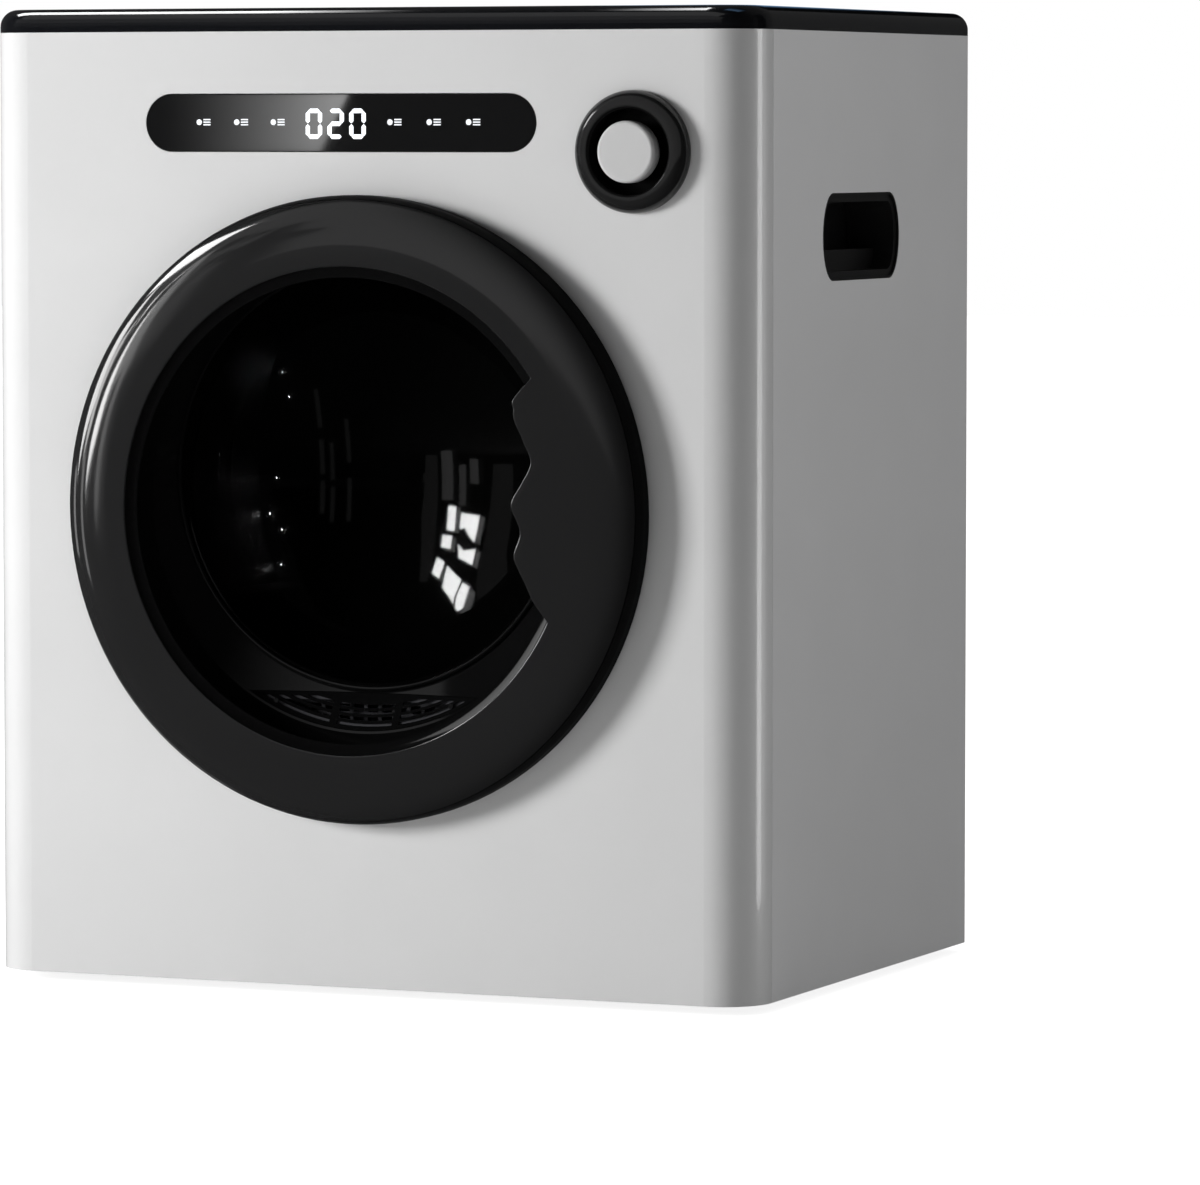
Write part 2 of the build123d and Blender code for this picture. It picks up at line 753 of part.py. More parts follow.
def idler_arm():
    """Swinging arm with the pin of the wheel and a tail for the spring."""
    x, z = idler_place()
    line = [Pos(PIVOT_X, PIVOT_Z) * Circle(6), Pos(x, z) * Circle(6)]
    arm = back_from(make_hull([edge for circle in line for edge in circle.edges()]), 106.7, 109.2)
    tail = [Pos(PIVOT_X, PIVOT_Z) * Circle(5), Pos(15, 33) * Circle(3.5)]
    arm += back_from(make_hull([edge for circle in tail for edge in circle.edges()]), 106.7, 109.2)
    arm += bar(3, 93.5, 107, x, z)
    arm += bar(5, 92, 93.5, x, z)
    return arm - bar(3 + RUN, 105, 110.2, PIVOT_X, PIVOT_Z)


def idler_wheel():
    x, z = idler_place()
    return turned([(3 + RUN, 94), (IDLER_R, 94), (IDLER_R, 104.5), (3 + RUN, 104.5)], x, z)


def idler_spring():
    """Spring that pulls the tail of the arm down."""
    spring = coil(2.6, 0.7, 1.5, 9)
    return Pos(15, FRONT + 109.5, TRAY_Z + 6.5) * spring


# air path


def air_duct():
    """Duct that rises from the fan and turns in behind the drum."""
    wall = DUCT_WALL
    duct = block(MOTOR_X, DUCT_X, AIR_D0, AIR_D1, 130.2, DUCT_Z1)
    duct += block(-78, DUCT_X, AIR_D0, AIR_D1, DUCT_Z0, DUCT_Z1)
    duct += block(-74, 74, REAR_WALL + STEEL, AIR_D0 + 1, DUCT_Z0 + 4, DUCT_Z1 - 4)
    room = block(MOTOR_X + wall, DUCT_X - wall, AIR_D0 + wall, AIR_D1 - wall, 129, DUCT_Z1 - wall)
    room += block(wall - 78, DUCT_X - wall, AIR_D0 + wall, AIR_D1 - wall, DUCT_Z0 + wall, DUCT_Z1 - wall)
    room += block(-70, 70, REAR_WALL, AIR_D0 + 4, DUCT_Z0 + 8, DUCT_Z1 - 8)
    return duct - room


def heater_frame():
    inner = DUCT_WALL + GAP
    frame = block(88, 116, AIR_D0 + inner, AIR_D1 - inner, DUCT_Z0 + inner, DUCT_Z1 - inner)
    return frame - block(80, 120, AIR_D0 + 6, AIR_D1 - 6, DUCT_Z0 + 6, DUCT_Z1 - 6)


def heater_fins():
    """Thin warm plates across the frame."""
    plates = []
    for k in range(10):
        z = DUCT_Z0 + 10 + 6.6 * k
        plates.append(block(91, 113, AIR_D0 + 6.1, AIR_D1 - 6.1, z - 0.6, z + 0.6))
    return joined(plates)


def thermostat():
    cup = bar(9, AIR_D1, AIR_D1 + 7, 30, 340)
    for x in (25, 35):
        cup += block(x - 0.5, x + 0.5, AIR_D1 + 6, AIR_D1 + 14, 336, 342)
    return cup


def control_board():
    """Main board on posts behind the rear wall."""
    board = block(-195, -95, 268, 269.6, 330, 465)
    for x in (-188, -102):
        for z in (337, 458):
            board += bar(BOARD_POST_R, REAR_WALL + STEEL, 268, x, z)
    return board


def board_parts():
    """Relay, transformer, capacitors and cooling block on the main board."""
    parts = [
        block(-185, -160, 269.6, 286, 345, 372),
        block(-150, -118, 269.6, 292, 345, 380),
        block(-185, -140, 269.6, 290, 420, 450),
    ]
    for x, z in ((-178, 392), (-156, 396)):
        parts.append(bar(8, 269.6, 289, x, z))
    for k in range(5):
        parts.append(block(-130 + 5 * k, -128 + 5 * k, 269.6, 288, 400, 450))
    return joined(parts)


# door


def rim_arc(radius, from_deg, to_deg):
    """Stretch of the door's rounded edge, its angle measured from straight ahead."""
    centre = (DOOR_R - DOOR_ROUND, FRONT - DOOR_PROUD + DOOR_ROUND)
    points = []
    for angle in (from_deg, (from_deg + to_deg) / 2, to_deg):
        turn = radians(angle)
        points.append((centre[0] + radius * sin(turn), centre[1] - radius * cos(turn)))
    return points


def closed_outline(outline):
    """Face whose straight sides fill the breaks between the given arcs and corners."""
    edges = []
    ends = []
    for item in outline:
        if len(item) == 3:
            edges.append(ThreePointArc(*item))
            ends.append((item[0], item[2]))
        else:
            ends.append((item, item))
    for (_, end), (start, _) in zip(ends, ends[1:] + ends[:1]):
        if hypot(end[0] - start[0], end[1] - start[1]) > 1e-6:
            edges.append(Line(end, start))
    return make_face(edges)


def hinge_room():
    """What is cut from the door so that it swings clear of the cabinet and the hinge arms."""
    tall = 60.0
    low, high = DOOR_Z - HINGE_HALF, DOOR_Z + HINGE_HALF
    beside = block(HINGE_X - 20, HINGE_X, HINGE_DEPTH, 5, DOOR_Z - tall, DOOR_Z + tall)
    beside -= post(SWEEP_R, HINGE_X, HINGE_DEPTH, DOOR_Z - tall - 1, DOOR_Z + tall + 1)
    behind = block(HINGE_X - 20, ARM_X + 4, HINGE_DEPTH + 5, 5, low, high)
    inside = block(HINGE_X - 8, ARM_X + 4, MOUTH_DEPTH, 5, low, high)
    return beside + (behind - keep_left_edge()) + inside


def keep_left_edge():
    """The round outer edge itself stays beside the hinge."""
    return post(SWEEP_R, HINGE_X, HINGE_DEPTH, 0, TOP) & block(-162, -156.5, -20, 0, 0, TOP)


def door_rim():
    """Gloss outer shell of the door with the web behind it."""
    inner_r = DOOR_ROUND - DOOR_WALL
    y = FRONT
    face = closed_outline(
        [
            (126, y + DOOR_BACK),
            (DOOR_R, y + DOOR_BACK),
            rim_arc(DOOR_ROUND, 90, GROOVE_TO),
            rim_arc(inner_r, GROOVE_TO, 90),
            (DOOR_R - DOOR_WALL, y + DOOR_BACK - WEB),
            (126, y + DOOR_BACK - WEB),
        ]
    )
    return Pos(0, 0, DOOR_Z) * revolve(face, Axis.Y) - hinge_room()


def wave_points():
    """Edge of the finger lip, in X and height above the door's centre, from top to bottom."""
    return [
        (103.0, 69.0),
        (94.4, 59.0),
        (94.6, 49.0),
        (98.8, 37.6),
        (102.4, 26.0),
        (97.7, 15.6),
        (92.9, 6.0),
        (97.4, -8.5),
        (94.4, -24.0),
        (101.5, -37.0),
        (112.4, -52.4),
    ]


def lip_outline():
    """Finger lip: the wave on its left, the trim's own band on its right."""
    points = wave_points()
    band = 6.0
    wave = Spline(*points)
    top, foot = points[0], points[-1]
    outer_r = WINDOW_R + band
    top_out = tuple(c * outer_r / hypot(*top) for c in top)
    foot_out = tuple(c * outer_r / hypot(*foot) for c in foot)
    outline = [
        wave,
        Line(foot, foot_out),
        ThreePointArc(foot_out, (outer_r, 0), top_out),
        Line(top_out, top),
    ]
    return make_face(outline)


def door_trim():
    """Satin front ring with its finger lip and the skirt that stands on the web."""
    inner_r = DOOR_ROUND - DOOR_WALL
    face = closed_outline(
        [
            (WINDOW_R, FRONT - DOOR_PROUD),
            rim_arc(DOOR_ROUND, 0, GROOVE_FROM),
            rim_arc(inner_r, GROOVE_FROM, 0),
            (WINDOW_R, FRONT - DOOR_PROUD + DOOR_WALL),
        ]
    )
    trim = Pos(0, 0, DOOR_Z) * revolve(face, Axis.Y)
    trim += back_from(Pos(0, DOOR_Z) * lip_outline(), -DOOR_PROUD, MOUTH_DEPTH)
    web_face = DOOR_BACK - WEB
    skirt = turned(
        [
            (SKIRT_R - 1, MOUTH_DEPTH - 0.5),
            (SKIRT_R + 1, MOUTH_DEPTH - 0.5),
            (SKIRT_R + 1, web_face),
            (SKIRT_R - 1, web_face),
        ],
        0,
        DOOR_Z,
    )
    trim -= post(KNUCKLE_R + 0.5, HINGE_X, HINGE_DEPTH, DOOR_Z - HINGE_HALF, DOOR_Z + HINGE_HALF)
    return trim + (skirt - hinge_room())


def frustum(r0, z0, d0, r1, z1, d1):
    """Cone between two level circles whose centres stand at different heights."""
    first = Plane((0, FRONT + d0, z0), x_dir=(1, 0, 0), z_dir=(0, 1, 0)) * Circle(r0)
    last = Plane((0, FRONT + d1, z1), x_dir=(1, 0, 0), z_dir=(0, 1, 0)) * Circle(r1)
    return loft([first, last], ruled=True)


def dish_body(grow, reach):
    """The dish's hollow as a solid, grown outwards, and carried past its ends by a reach."""
    mouth_r, waist_r, seat_r = WINDOW_R + grow, WAIST_R + grow, SEAT_R + grow
    mouth = frustum(mouth_r, DOOR_Z, MOUTH_DEPTH, waist_r, WAIST_Z, WAIST_DEPTH)
    seat = frustum(waist_r, WAIST_Z, WAIST_DEPTH, seat_r, SEAT_Z, SEAT_DEPTH)
    body = mouth + seat
    if reach:
        body += bar(mouth_r, MOUTH_DEPTH - reach, MOUTH_DEPTH, 0, DOOR_Z)
        body += bar(seat_r, SEAT_DEPTH, SEAT_DEPTH + reach, 0, SEAT_Z)
    return body


def cover_outline(inset):
    """Foot of the dish: the part of a circle below a level line."""
    radius = COVER_R - inset
    disc = Pos(0, WAIST_Z) * Circle(radius)
    line = Pos(0, COVER_TOP - inset - 100) * Rectangle(400, 200)
    return disc & line


def door_dish():
    """Dish between the trim and the bowl, with a bead round its seat, open at its foot for the filter."""
    dish = dish_body(DISH_WALL, 0) - dish_body(0, 3)
    flange = bar(137, MOUTH_DEPTH, MOUTH_DEPTH + 2, 0, DOOR_Z)
    flange -= dish_body(0.5, 3)
    dish += flange
    section = Pos(SEAT_R - 0.2, FRONT + SEAT_DEPTH - BEAD_R - 0.2) * Circle(BEAD_R)
    dish += Pos(0, 0, SEAT_Z) * revolve(section, Axis.Y)
    dish -= back_from(cover_outline(-GAP), WAIST_DEPTH - 1.5, SEAT_DEPTH + 6)
    return dish - hinge_room()


def slot_rows():
    """Curved slots in three columns, drawn in X and height."""
    rows = None
    for row in range(SLOT_ROWS):
        radius = COVER_R - SLOT_EDGE - SLOT_PITCH * row
        ring = Pos(0, WAIST_Z) * (Circle(radius) - Circle(radius - SLOT_W))
        rows = ring if rows is None else rows + ring
    rows &= cover_outline(SLOT_EDGE)
    for x in (-RIB_X, RIB_X):
        rows -= Pos(x, 150) * Rectangle(RIB_W, 120)
    return rows


def filter_cover():
    """Slotted cover that follows the dish and slides straight out."""
    wall = dish_body(DISH_WALL, 0) - dish_body(0, 3)
    cover = wall & back_from(cover_outline(0), WAIST_DEPTH - 1.2, SEAT_DEPTH)
    return cover - back_from(slot_rows(), WAIST_DEPTH - 5, SEAT_DEPTH + 5)


def lint_filter():
    """Wedge-shaped frame behind the cover with a square mesh over its back."""
    back = 16.2
    room = dish_body(DISH_WALL, 0)
    frame = back_from(cover_outline(2.0), WAIST_DEPTH, back) - room
    hollow = back_from(cover_outline(3.8), WAIST_DEPTH - 1, back - 1.0) - dish_body(DISH_WALL - 0.1, 0)
    frame -= hollow
    for column_x in range(-48, 49, 8):
        for row_z in (141.5, 147.5):
            frame -= block(column_x - 3, column_x + 3, back - 2, back + 1, row_z - 2, row_z + 2)
    return frame


def catch_places():
    return [(x, 151.0) for x in (-49.0, 49.0)]


def filter_catches():
    """Two bright round catches on the cover."""
    catches = []
    for x, z in catch_places():
        depth = cone_depth(x, z)
        catches.append(bar(CATCH_R, depth - 1.5, depth - 0.05, x, z))
    return joined(catches)


def cone_depth(x, z):
    """Depth of the dish's lower cone at a place, found along the line from waist to seat."""
    share = 0.5
    for _ in range(40):
        radius = WAIST_R + share * (SEAT_R - WAIST_R)
        centre = WAIST_Z + share * (SEAT_Z - WAIST_Z)
        foot = centre - sqrt(radius**2 - x**2)
        share += (z - foot) / 25.0
    return WAIST_DEPTH + share * (SEAT_DEPTH - WAIST_DEPTH)


def dome(rim_r, rim_depth, rise):
    """Arc from the rim of a ball-shaped cap to its middle, which lies a rise behind the rim."""
    ball = (rim_r**2 + rise**2) / (2 * rise)
    half = rim_r / 2
    half_depth = rim_depth + rise - ball + sqrt(ball**2 - half**2)
    return [(rim_r, FRONT + rim_depth), (half, FRONT + half_depth), (0, FRONT + rim_depth + rise)]


def door_bowl():
    """Smoked bowl with a flat flange: a leaning side and a shallow domed end."""
    rear = FRONT + SEAT_DEPTH + WEB
    inner_rim_r = BOWL_RIM_R - 1.6
    inner_rim = BOWL_RIM_DEPTH - BOWL_WALL
    outside_end = dome(BOWL_RIM_R, BOWL_RIM_DEPTH, BOWL_RISE)
    inside_end = dome(inner_rim_r, inner_rim, BOWL_RISE)
    face = closed_outline(
        [
            (BOWL_FLANGE_R, FRONT + SEAT_DEPTH),
            (BOWL_FLANGE_R, rear),
            (SEAT_R, rear),
            [(SEAT_R - 0.5, rear), (99, FRONT + 40), outside_end[0]],
            outside_end,
            inside_end[::-1],
            [inside_end[0], (96.2, FRONT + 38.4), (SEAT_R - BOWL_WALL, FRONT + SEAT_DEPTH)],
        ]
    )
    return Pos(0, 0, SEAT_Z) * revolve(face, Axis.Y)


def door_back():
    """Rear frame: the plug that enters the cabinet and the plate that clamps the bowl."""
    frame = bar(PLUG_R, DOOR_BACK, PLUG_DEPTH, 0, DOOR_Z)
    frame -= bar(PLUG_R - WEB, DOOR_BACK - 1, SEAT_DEPTH + 2.4, 0, DOOR_Z)
    frame -= bar(110, DOOR_BACK, PLUG_DEPTH + 1, 0, SEAT_Z)
    for column_x in range(-40, 41, 8):
        frame -= block(column_x - 2.5, column_x + 2.5, 12, 20, 138, 152)
    return frame


def door_gasket():
    """Soft lip round the plate's outer edge."""
    r1 = PLUG_R - 0.4
    return turned(
        [
            (r1 - 4, PLUG_DEPTH),
            (r1, PLUG_DEPTH),
            (r1, PLUG_DEPTH + 2.5),
            (r1 - 1, LAND_DEPTH - 0.5),
            (r1 - 2.4, LAND_DEPTH - 0.5),
            (r1 - 4, PLUG_DEPTH + 2.5),
        ],
        0,
        DOOR_Z,
    )


def hinge_leaf():
    """Knuckle of the door with its foot on the trim."""
    low, high = DOOR_Z - KNUCKLE_HALF, DOOR_Z + KNUCKLE_HALF
    leaf = post(KNUCKLE_R, HINGE_X, HINGE_DEPTH, low, high)
    leaf += block(HINGE_X + 1.5, -139.0, MOUTH_DEPTH, MOUTH_DEPTH + 3, low, high)
    return leaf - post(PIN_R + RUN, HINGE_X, HINGE_DEPTH, low - 1, high + 1)


def hinge_bracket():
    """Two arms that come out of the door pocket, joined by a plate behind the bulkhead."""
    back = 5.8
    bracket = None
    half = ARM_T / 2
    for low, high in ((DOOR_Z - ARM_Z1, DOOR_Z - ARM_Z0), (DOOR_Z + ARM_Z0, DOOR_Z + ARM_Z1)):
        arm = post(KNUCKLE_R - 0.3, HINGE_X, HINGE_DEPTH, low, high)
        arm += block(HINGE_X, ARM_X + half, HINGE_DEPTH - half, HINGE_DEPTH + half, low, high)
        arm += block(ARM_X - half, ARM_X + half, HINGE_DEPTH, back, low, high)
        bracket = arm if bracket is None else bracket + arm
    bracket += block(-166, ARM_X + half, back, back + 2, DOOR_Z - HINGE_HALF, DOOR_Z + HINGE_HALF)
    for z in hinge_screw_heights():
        bracket -= bar(2, back - 1, back + 3, HINGE_X - 6, z)
    return bracket - post(PIN_R, HINGE_X, HINGE_DEPTH, 0, TOP)


def hinge_screw_heights():
    return [DOOR_Z - 22, DOOR_Z, DOOR_Z + 22]


def hinge_pin():
    """Pin with two small heads."""
    low, high = DOOR_Z - ARM_Z1, DOOR_Z + ARM_Z1
    pin = post(PIN_R, HINGE_X, HINGE_DEPTH, low, high)
    pin += post(3, HINGE_X, HINGE_DEPTH, low - 1.5, low)
    return pin + post(3, HINGE_X, HINGE_DEPTH, high, high + 1.5)


def frame_screws():
    """Screws of the hinge plate and bolts of the motor base."""
    screws = []
    for z in hinge_screw_heights():
        screws.append(bar(3.6, 7.85, 10, HINGE_X - 6, z) + bar(1.8, 3.4, 9, HINGE_X - 6, z))
    for x, depth in motor_bolt_places():
        head = post(4, x, depth, TRAY_Z + 2.55, TRAY_Z + 6)
        screws.append(head + post(SCREW_R, x, depth, TRAY_Z - 1.8, TRAY_Z + 3))
    return joined(screws)


def door_keeper():
    """Steel plate in the door, pulled by the magnet."""
    return block(142.6, 154, DOOR_BACK - WEB - 2, DOOR_BACK - WEB, DOOR_Z - 14, DOOR_Z + 14)


def latch_magnet():
    return block(142, 155, 5.7, 14, DOOR_Z - 14, DOOR_Z + 14)


NODES = {
    "front_shell": front_shell,
    "left_side": lambda: with_return_holes(side_panel(-1), -1),
    "right_side": lambda: with_return_holes(side_panel(1), 1),
    "rear_panel": rear_panel,
    "intake_grille": intake_grille,
    "top_lid": top_lid,
    "base_tray": base_tray,
    "feet": feet,
    "left_handle_cup": lambda: handle_cup(-1),
    "right_handle_cup": lambda: handle_cup(1),
    "power_inlet": power_inlet,
    "display_window": display_window,
    "display_digits": display_digits,
    "display_icons": display_icons,
    "display_board": display_board,
    "knob_bezel": knob_bezel,
    "encoder_body": encoder_body,
    "encoder_shaft": encoder_shaft,
    "knob_cap": knob_cap,
    "knob_spring": knob_spring,
    "front_bulkhead": front_bulkhead,
    "front_felt": front_felt,
    "drum_shell": drum_shell,
    "drum_back": drum_back,
    "drum_lifters": drum_lifters,
    "drum_axle": drum_axle,
    "rear_bulkhead": rear_bulkhead,
    "drum_bearing": drum_bearing,
    "drum_belt": drum_belt,
    "motor_body": motor_body,
    "motor_bracket": motor_bracket,
    "rotor_shaft": rotor_shaft,
    "motor_pulley": motor_pulley,
    "fan_impeller": fan_impeller,
    "fan_housing": fan_housing,
    "idler_arm": idler_arm,
    "idler_wheel": idler_wheel,
    "idler_spring": idler_spring,
    "air_duct": air_duct,
    "heater_frame": heater_frame,
    "heater_fins": heater_fins,
    "thermostat": thermostat,
    "control_board": control_board,
    "board_parts": board_parts,
    "door_rim": door_rim,
    "door_trim": door_trim,
    "door_dish": door_dish,
    "door_bowl": door_bowl,
    "door_back": door_back,
    "door_gasket": door_gasket,
    "door_keeper": door_keeper,
    "latch_magnet": latch_magnet,
    "filter_cover": filter_cover,
    "lint_filter": lint_filter,
    "filter_catches": filter_catches,
    "hinge_leaf": hinge_leaf,
    "hinge_bracket": hinge_bracket,
    "hinge_pin": hinge_pin,
    "rear_screws": rear_screws,
    "frame_screws": frame_screws,
}

os.makedirs("parts", exist_ok=True)
for node, make in NODES.items():
    save(node, make())
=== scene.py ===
import json
import math

import bpy
import numpy as np
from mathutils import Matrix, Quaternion, Vector


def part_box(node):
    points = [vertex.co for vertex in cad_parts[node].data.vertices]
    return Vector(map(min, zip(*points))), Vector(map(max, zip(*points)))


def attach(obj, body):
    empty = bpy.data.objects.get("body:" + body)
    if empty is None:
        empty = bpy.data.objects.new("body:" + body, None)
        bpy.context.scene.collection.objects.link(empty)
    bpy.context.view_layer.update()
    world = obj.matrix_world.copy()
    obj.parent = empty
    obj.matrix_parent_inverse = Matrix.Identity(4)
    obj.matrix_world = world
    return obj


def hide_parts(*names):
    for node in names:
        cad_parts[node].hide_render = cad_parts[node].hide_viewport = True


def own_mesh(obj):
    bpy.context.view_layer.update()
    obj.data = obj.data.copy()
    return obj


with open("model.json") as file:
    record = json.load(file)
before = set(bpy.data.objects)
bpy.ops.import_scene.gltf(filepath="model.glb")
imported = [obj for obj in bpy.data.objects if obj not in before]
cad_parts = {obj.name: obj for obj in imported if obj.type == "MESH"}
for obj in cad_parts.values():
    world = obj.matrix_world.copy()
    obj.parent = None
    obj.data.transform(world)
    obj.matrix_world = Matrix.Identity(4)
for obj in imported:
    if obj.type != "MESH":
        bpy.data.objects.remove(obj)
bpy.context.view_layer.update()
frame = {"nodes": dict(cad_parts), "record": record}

# Sizes of the pieces are in millimetres here and become metres in the meshes. The studio's are in
# metres. The cabinet, the door, the drum and the selector are measured in the frame. A depth is a
# distance behind the cabinet's front plane.
MM = 0.001
TURN = 2 * math.pi
QUAD = [(0, 1, 2, 3)]


def corners(node):
    """Lowest and highest corner of a CAD node, in millimetres."""
    low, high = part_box(node)
    return np.array(low) / MM, np.array(high) / MM


BODY_LOW, BODY_HIGH = corners("top_lid")
FRONT = BODY_LOW[1]
HALF_W = BODY_HIGH[0]
TOP = BODY_HIGH[2]
DOOR_LOW, DOOR_HIGH = corners("door_rim")
DOOR_Z = (DOOR_LOW[2] + DOOR_HIGH[2]) / 2
DOOR_R = (DOOR_HIGH[2] - DOOR_LOW[2]) / 2
TRIM_FACE = corners("door_trim")[0][1] - FRONT
DRUM_LOW, DRUM_HIGH = corners("drum_back")
DRUM_Z = (DRUM_LOW[2] + DRUM_HIGH[2]) / 2
KNOB = sum(corners("knob_bezel")) / 2

# door trim, and the cove inside its window
WINDOW_R = 124.0
TRIM_WALL = 2.2
TRIM_EDGE = 0.8
RIM_ROUND = 12.0
GROOVE_TURN = math.radians(55.0)
CREASE_R = 135.3
CREASE_BLEND = 0.8
CREASE_SLOPE = 0.0227
CROWN_FROM = 112.0
CROWN_POWER = 7.9
REAR_FLAT_R = 140.0
REAR_SLOPE_R = 150.0
REAR_FALL = 1.2
REAR_CHAMFER = 0.3
LIP_FROM = -27.0
LIP_TO = 36.0
COVE_IN = 118.6
COVE_FACE = -19.0
COVE_STEEP = 38
COVE_SHALLOW = 8

# rivets on the drum's back plate, each at a distance from the axle and an angle
STUD_PLACES = (
    (171, 162.4), (163.5, 166.5), (167, 182.3), (173, 188.8), (167.3, 192.1), (173, 198.3),
)
STUD_R = 2.2
STUD_RISE = 1.4
STUD_SIDES = 12
PLATE = 1.6

# spring under the selector's cap, and the well of its bezel, where the bezel has painted shade
WIRE_R = 0.4
WIRE_SIDES = 8
COIL_TURNS = 4
WELL_R = 22.6

# camera, at the photograph's place
EYE = Vector((1.49095, -3.35270, 0.44442))
SENSOR = 36.0
LENS = 208.28
VIEW_TURN = math.radians(23.0071)
VIEW_TILT = math.radians(3.8371)

# studio: levels of the room and the floor, and points of the front, across and above the floor
ROOM_DARK = 0.008
ROOM_BEHIND = 0.05
FILL_AHEAD = 0.035
FILL_BEHIND = 0.69
FLOOR_HALF = 12.0
FLOOR_PALE = 0.85
FLOOR_DARK = 0.012
FLOOR_WHITE = 0.88
KEY_FROM = (-52.5, 9.5)
SKY_BLUE = (0.32, 0.60, 1.0)
MIDDLE = (0.0, 0.25)
LEFT_OF_DOOR = (-0.10, 0.32)
OVER_DOOR = (0.02, 0.385)
BOWL = (0.025, 0.235)
BOWL_UPPER_LEFT = (-0.045, 0.28)
SELECTOR = (KNOB[0] * MM, KNOB[2] * MM)


# camera


def place_camera():
    """A long lens a little to the right of the door, turned to the left and tilted down."""
    data = bpy.data.cameras.new("camera")
    data.sensor_width = SENSOR
    data.lens = LENS
    data.clip_start, data.clip_end = 0.05, 60.0
    camera = bpy.data.objects.new("camera", data)
    camera.location = EYE
    level = math.cos(VIEW_TILT)
    x, y = -math.sin(VIEW_TURN) * level, math.cos(VIEW_TURN) * level
    ahead = Vector((x, y, -math.sin(VIEW_TILT)))
    camera.rotation_mode = "QUATERNION"
    camera.rotation_quaternion = ahead.to_track_quat("-Z", "Y")
    bpy.context.scene.collection.objects.link(camera)
    bpy.context.scene.camera = camera


# studio


def around(azimuth, elevation, distance, centre=MIDDLE):
    """Place seen from a point of the front: azimuth 0 is straight ahead, positive to the right."""
    a, e = math.radians(azimuth), math.radians(elevation)
    flat = distance * math.cos(e)
    x, z = centre
    y = FRONT * MM - flat * math.cos(a)
    return Vector((x + flat * math.sin(a), y, z + distance * math.sin(e)))


def soft_light(name, place, aim, width, height, radiance, diffuse=True, glossy=True):
    """A rectangular soft light at a place, facing a point. A mirror shows it at its radiance."""
    data = bpy.data.lights.new(name, "AREA")
    data.shape = "RECTANGLE"
    data.size, data.size_y = width, height
    data.energy = radiance * math.pi * width * height
    light = bpy.data.objects.new(name, data)
    light.location = place
    light.rotation_mode = "QUATERNION"
    light.rotation_quaternion = (Vector(aim) - Vector(place)).to_track_quat("-Z", "Y")
    light.visible_camera = False
    light.visible_diffuse = diffuse
    light.visible_glossy = glossy
    bpy.context.scene.collection.objects.link(light)
    return light


def only_for(light, *nodes):
    """Let a light fall on the named nodes alone."""
    group = bpy.data.collections.new(light.name + "_on")
    for node in nodes:
        group.objects.link(node if isinstance(node, bpy.types.Object) else frame["nodes"][node])
    light.light_linking.receiver_collection = group


def spanning(angle, distance):
    """Length that spans an angle at a distance."""
    return 2 * distance * math.tan(math.radians(angle) / 2)


def panel(name, azimuths, elevations, radiance, *nodes, centre=LEFT_OF_DOOR, distance=3.0, lean=0):
    """A panel for the gloss of the named nodes alone. It spans two azimuths and two elevations, and
    leans by an angle, its head further to the left."""
    (a, b), (low, high) = azimuths, elevations
    place = around((a + b) / 2, (low + high) / 2, distance, centre)
    aim = (centre[0], FRONT * MM, centre[1])
    width = spanning(abs(b - a), distance) * math.cos(math.radians(low + high) / 2)
    height = spanning(high - low, distance)
    light = soft_light(name, place, aim, width, height, radiance, diffuse=False)
    light.rotation_quaternion @= Quaternion((0, 0, 1), math.radians(lean))
    only_for(light, *nodes)


def ranged(nodes, links, value, span, result):
    """A value carried from one span to another and held at its ends."""
    node = nodes.new("ShaderNodeMapRange")
    node.inputs["From Min"].default_value, node.inputs["From Max"].default_value = span
    node.inputs["To Min"].default_value, node.inputs["To Max"].default_value = result
    links.new(value, node.inputs["Value"])
    return node.outputs["Result"]


def calculated(nodes, links, operation, first, second):
    """Two values put together; the second may be a number."""
    node = nodes.new("ShaderNodeMath")
    node.operation = operation
    links.new(first, node.inputs[0])
    if isinstance(second, float):
        node.inputs[1].default_value = second
    else:
        links.new(second, node.inputs[1])
    return node.outputs[0]


def blended(nodes, links, factor, first, second):
    """Value between two, led by a factor."""
    node = nodes.new("ShaderNodeMix")
    links.new(factor, node.inputs["Factor"])
    for socket, value in (("A", first), ("B", second)):
        if isinstance(value, float):
            node.inputs[socket].default_value = value
        else:
            links.new(value, node.inputs[socket])
    return node.outputs["Result"]


def seen_itself(nodes, links, path):
    """1 where the camera sees a thing itself, also through clear plastic."""
    straight, through = path.outputs["Is Camera Ray"], path.outputs["Is Transmission Ray"]
    return calculated(nodes, links, "MAXIMUM", straight, through)


def world_light():
    """White for the camera. Gloss sees a dark room ahead and a dim room behind, and the room's soft
    light comes mostly from behind."""
    world = bpy.data.worlds.new("studio")
    world.use_nodes = True
    nodes, links = world.node_tree.nodes, world.node_tree.links
    background = nodes["Background"]
    path = nodes.new("ShaderNodeLightPath")
    direction = nodes.new("ShaderNodeTexCoord")
    split = nodes.new("ShaderNodeSeparateXYZ")
    links.new(direction.outputs["Generated"], split.inputs["Vector"])
    reflected = ranged(nodes, links, split.outputs["Y"], (-0.1, 0.35), (ROOM_DARK, ROOM_BEHIND))
    fill = ranged(nodes, links, split.outputs["Y"], (-0.3, 0.6), (FILL_AHEAD, FILL_BEHIND))
    lit = blended(nodes, links, path.outputs["Is Glossy Ray"], fill, reflected)
    seen = seen_itself(nodes, links, path)
    links.new(blended(nodes, links, seen, lit, 1.0), background.inputs["Strength"])
    background.inputs["Color"].default_value = (1, 1, 1, 1)
    bpy.context.scene.world = world


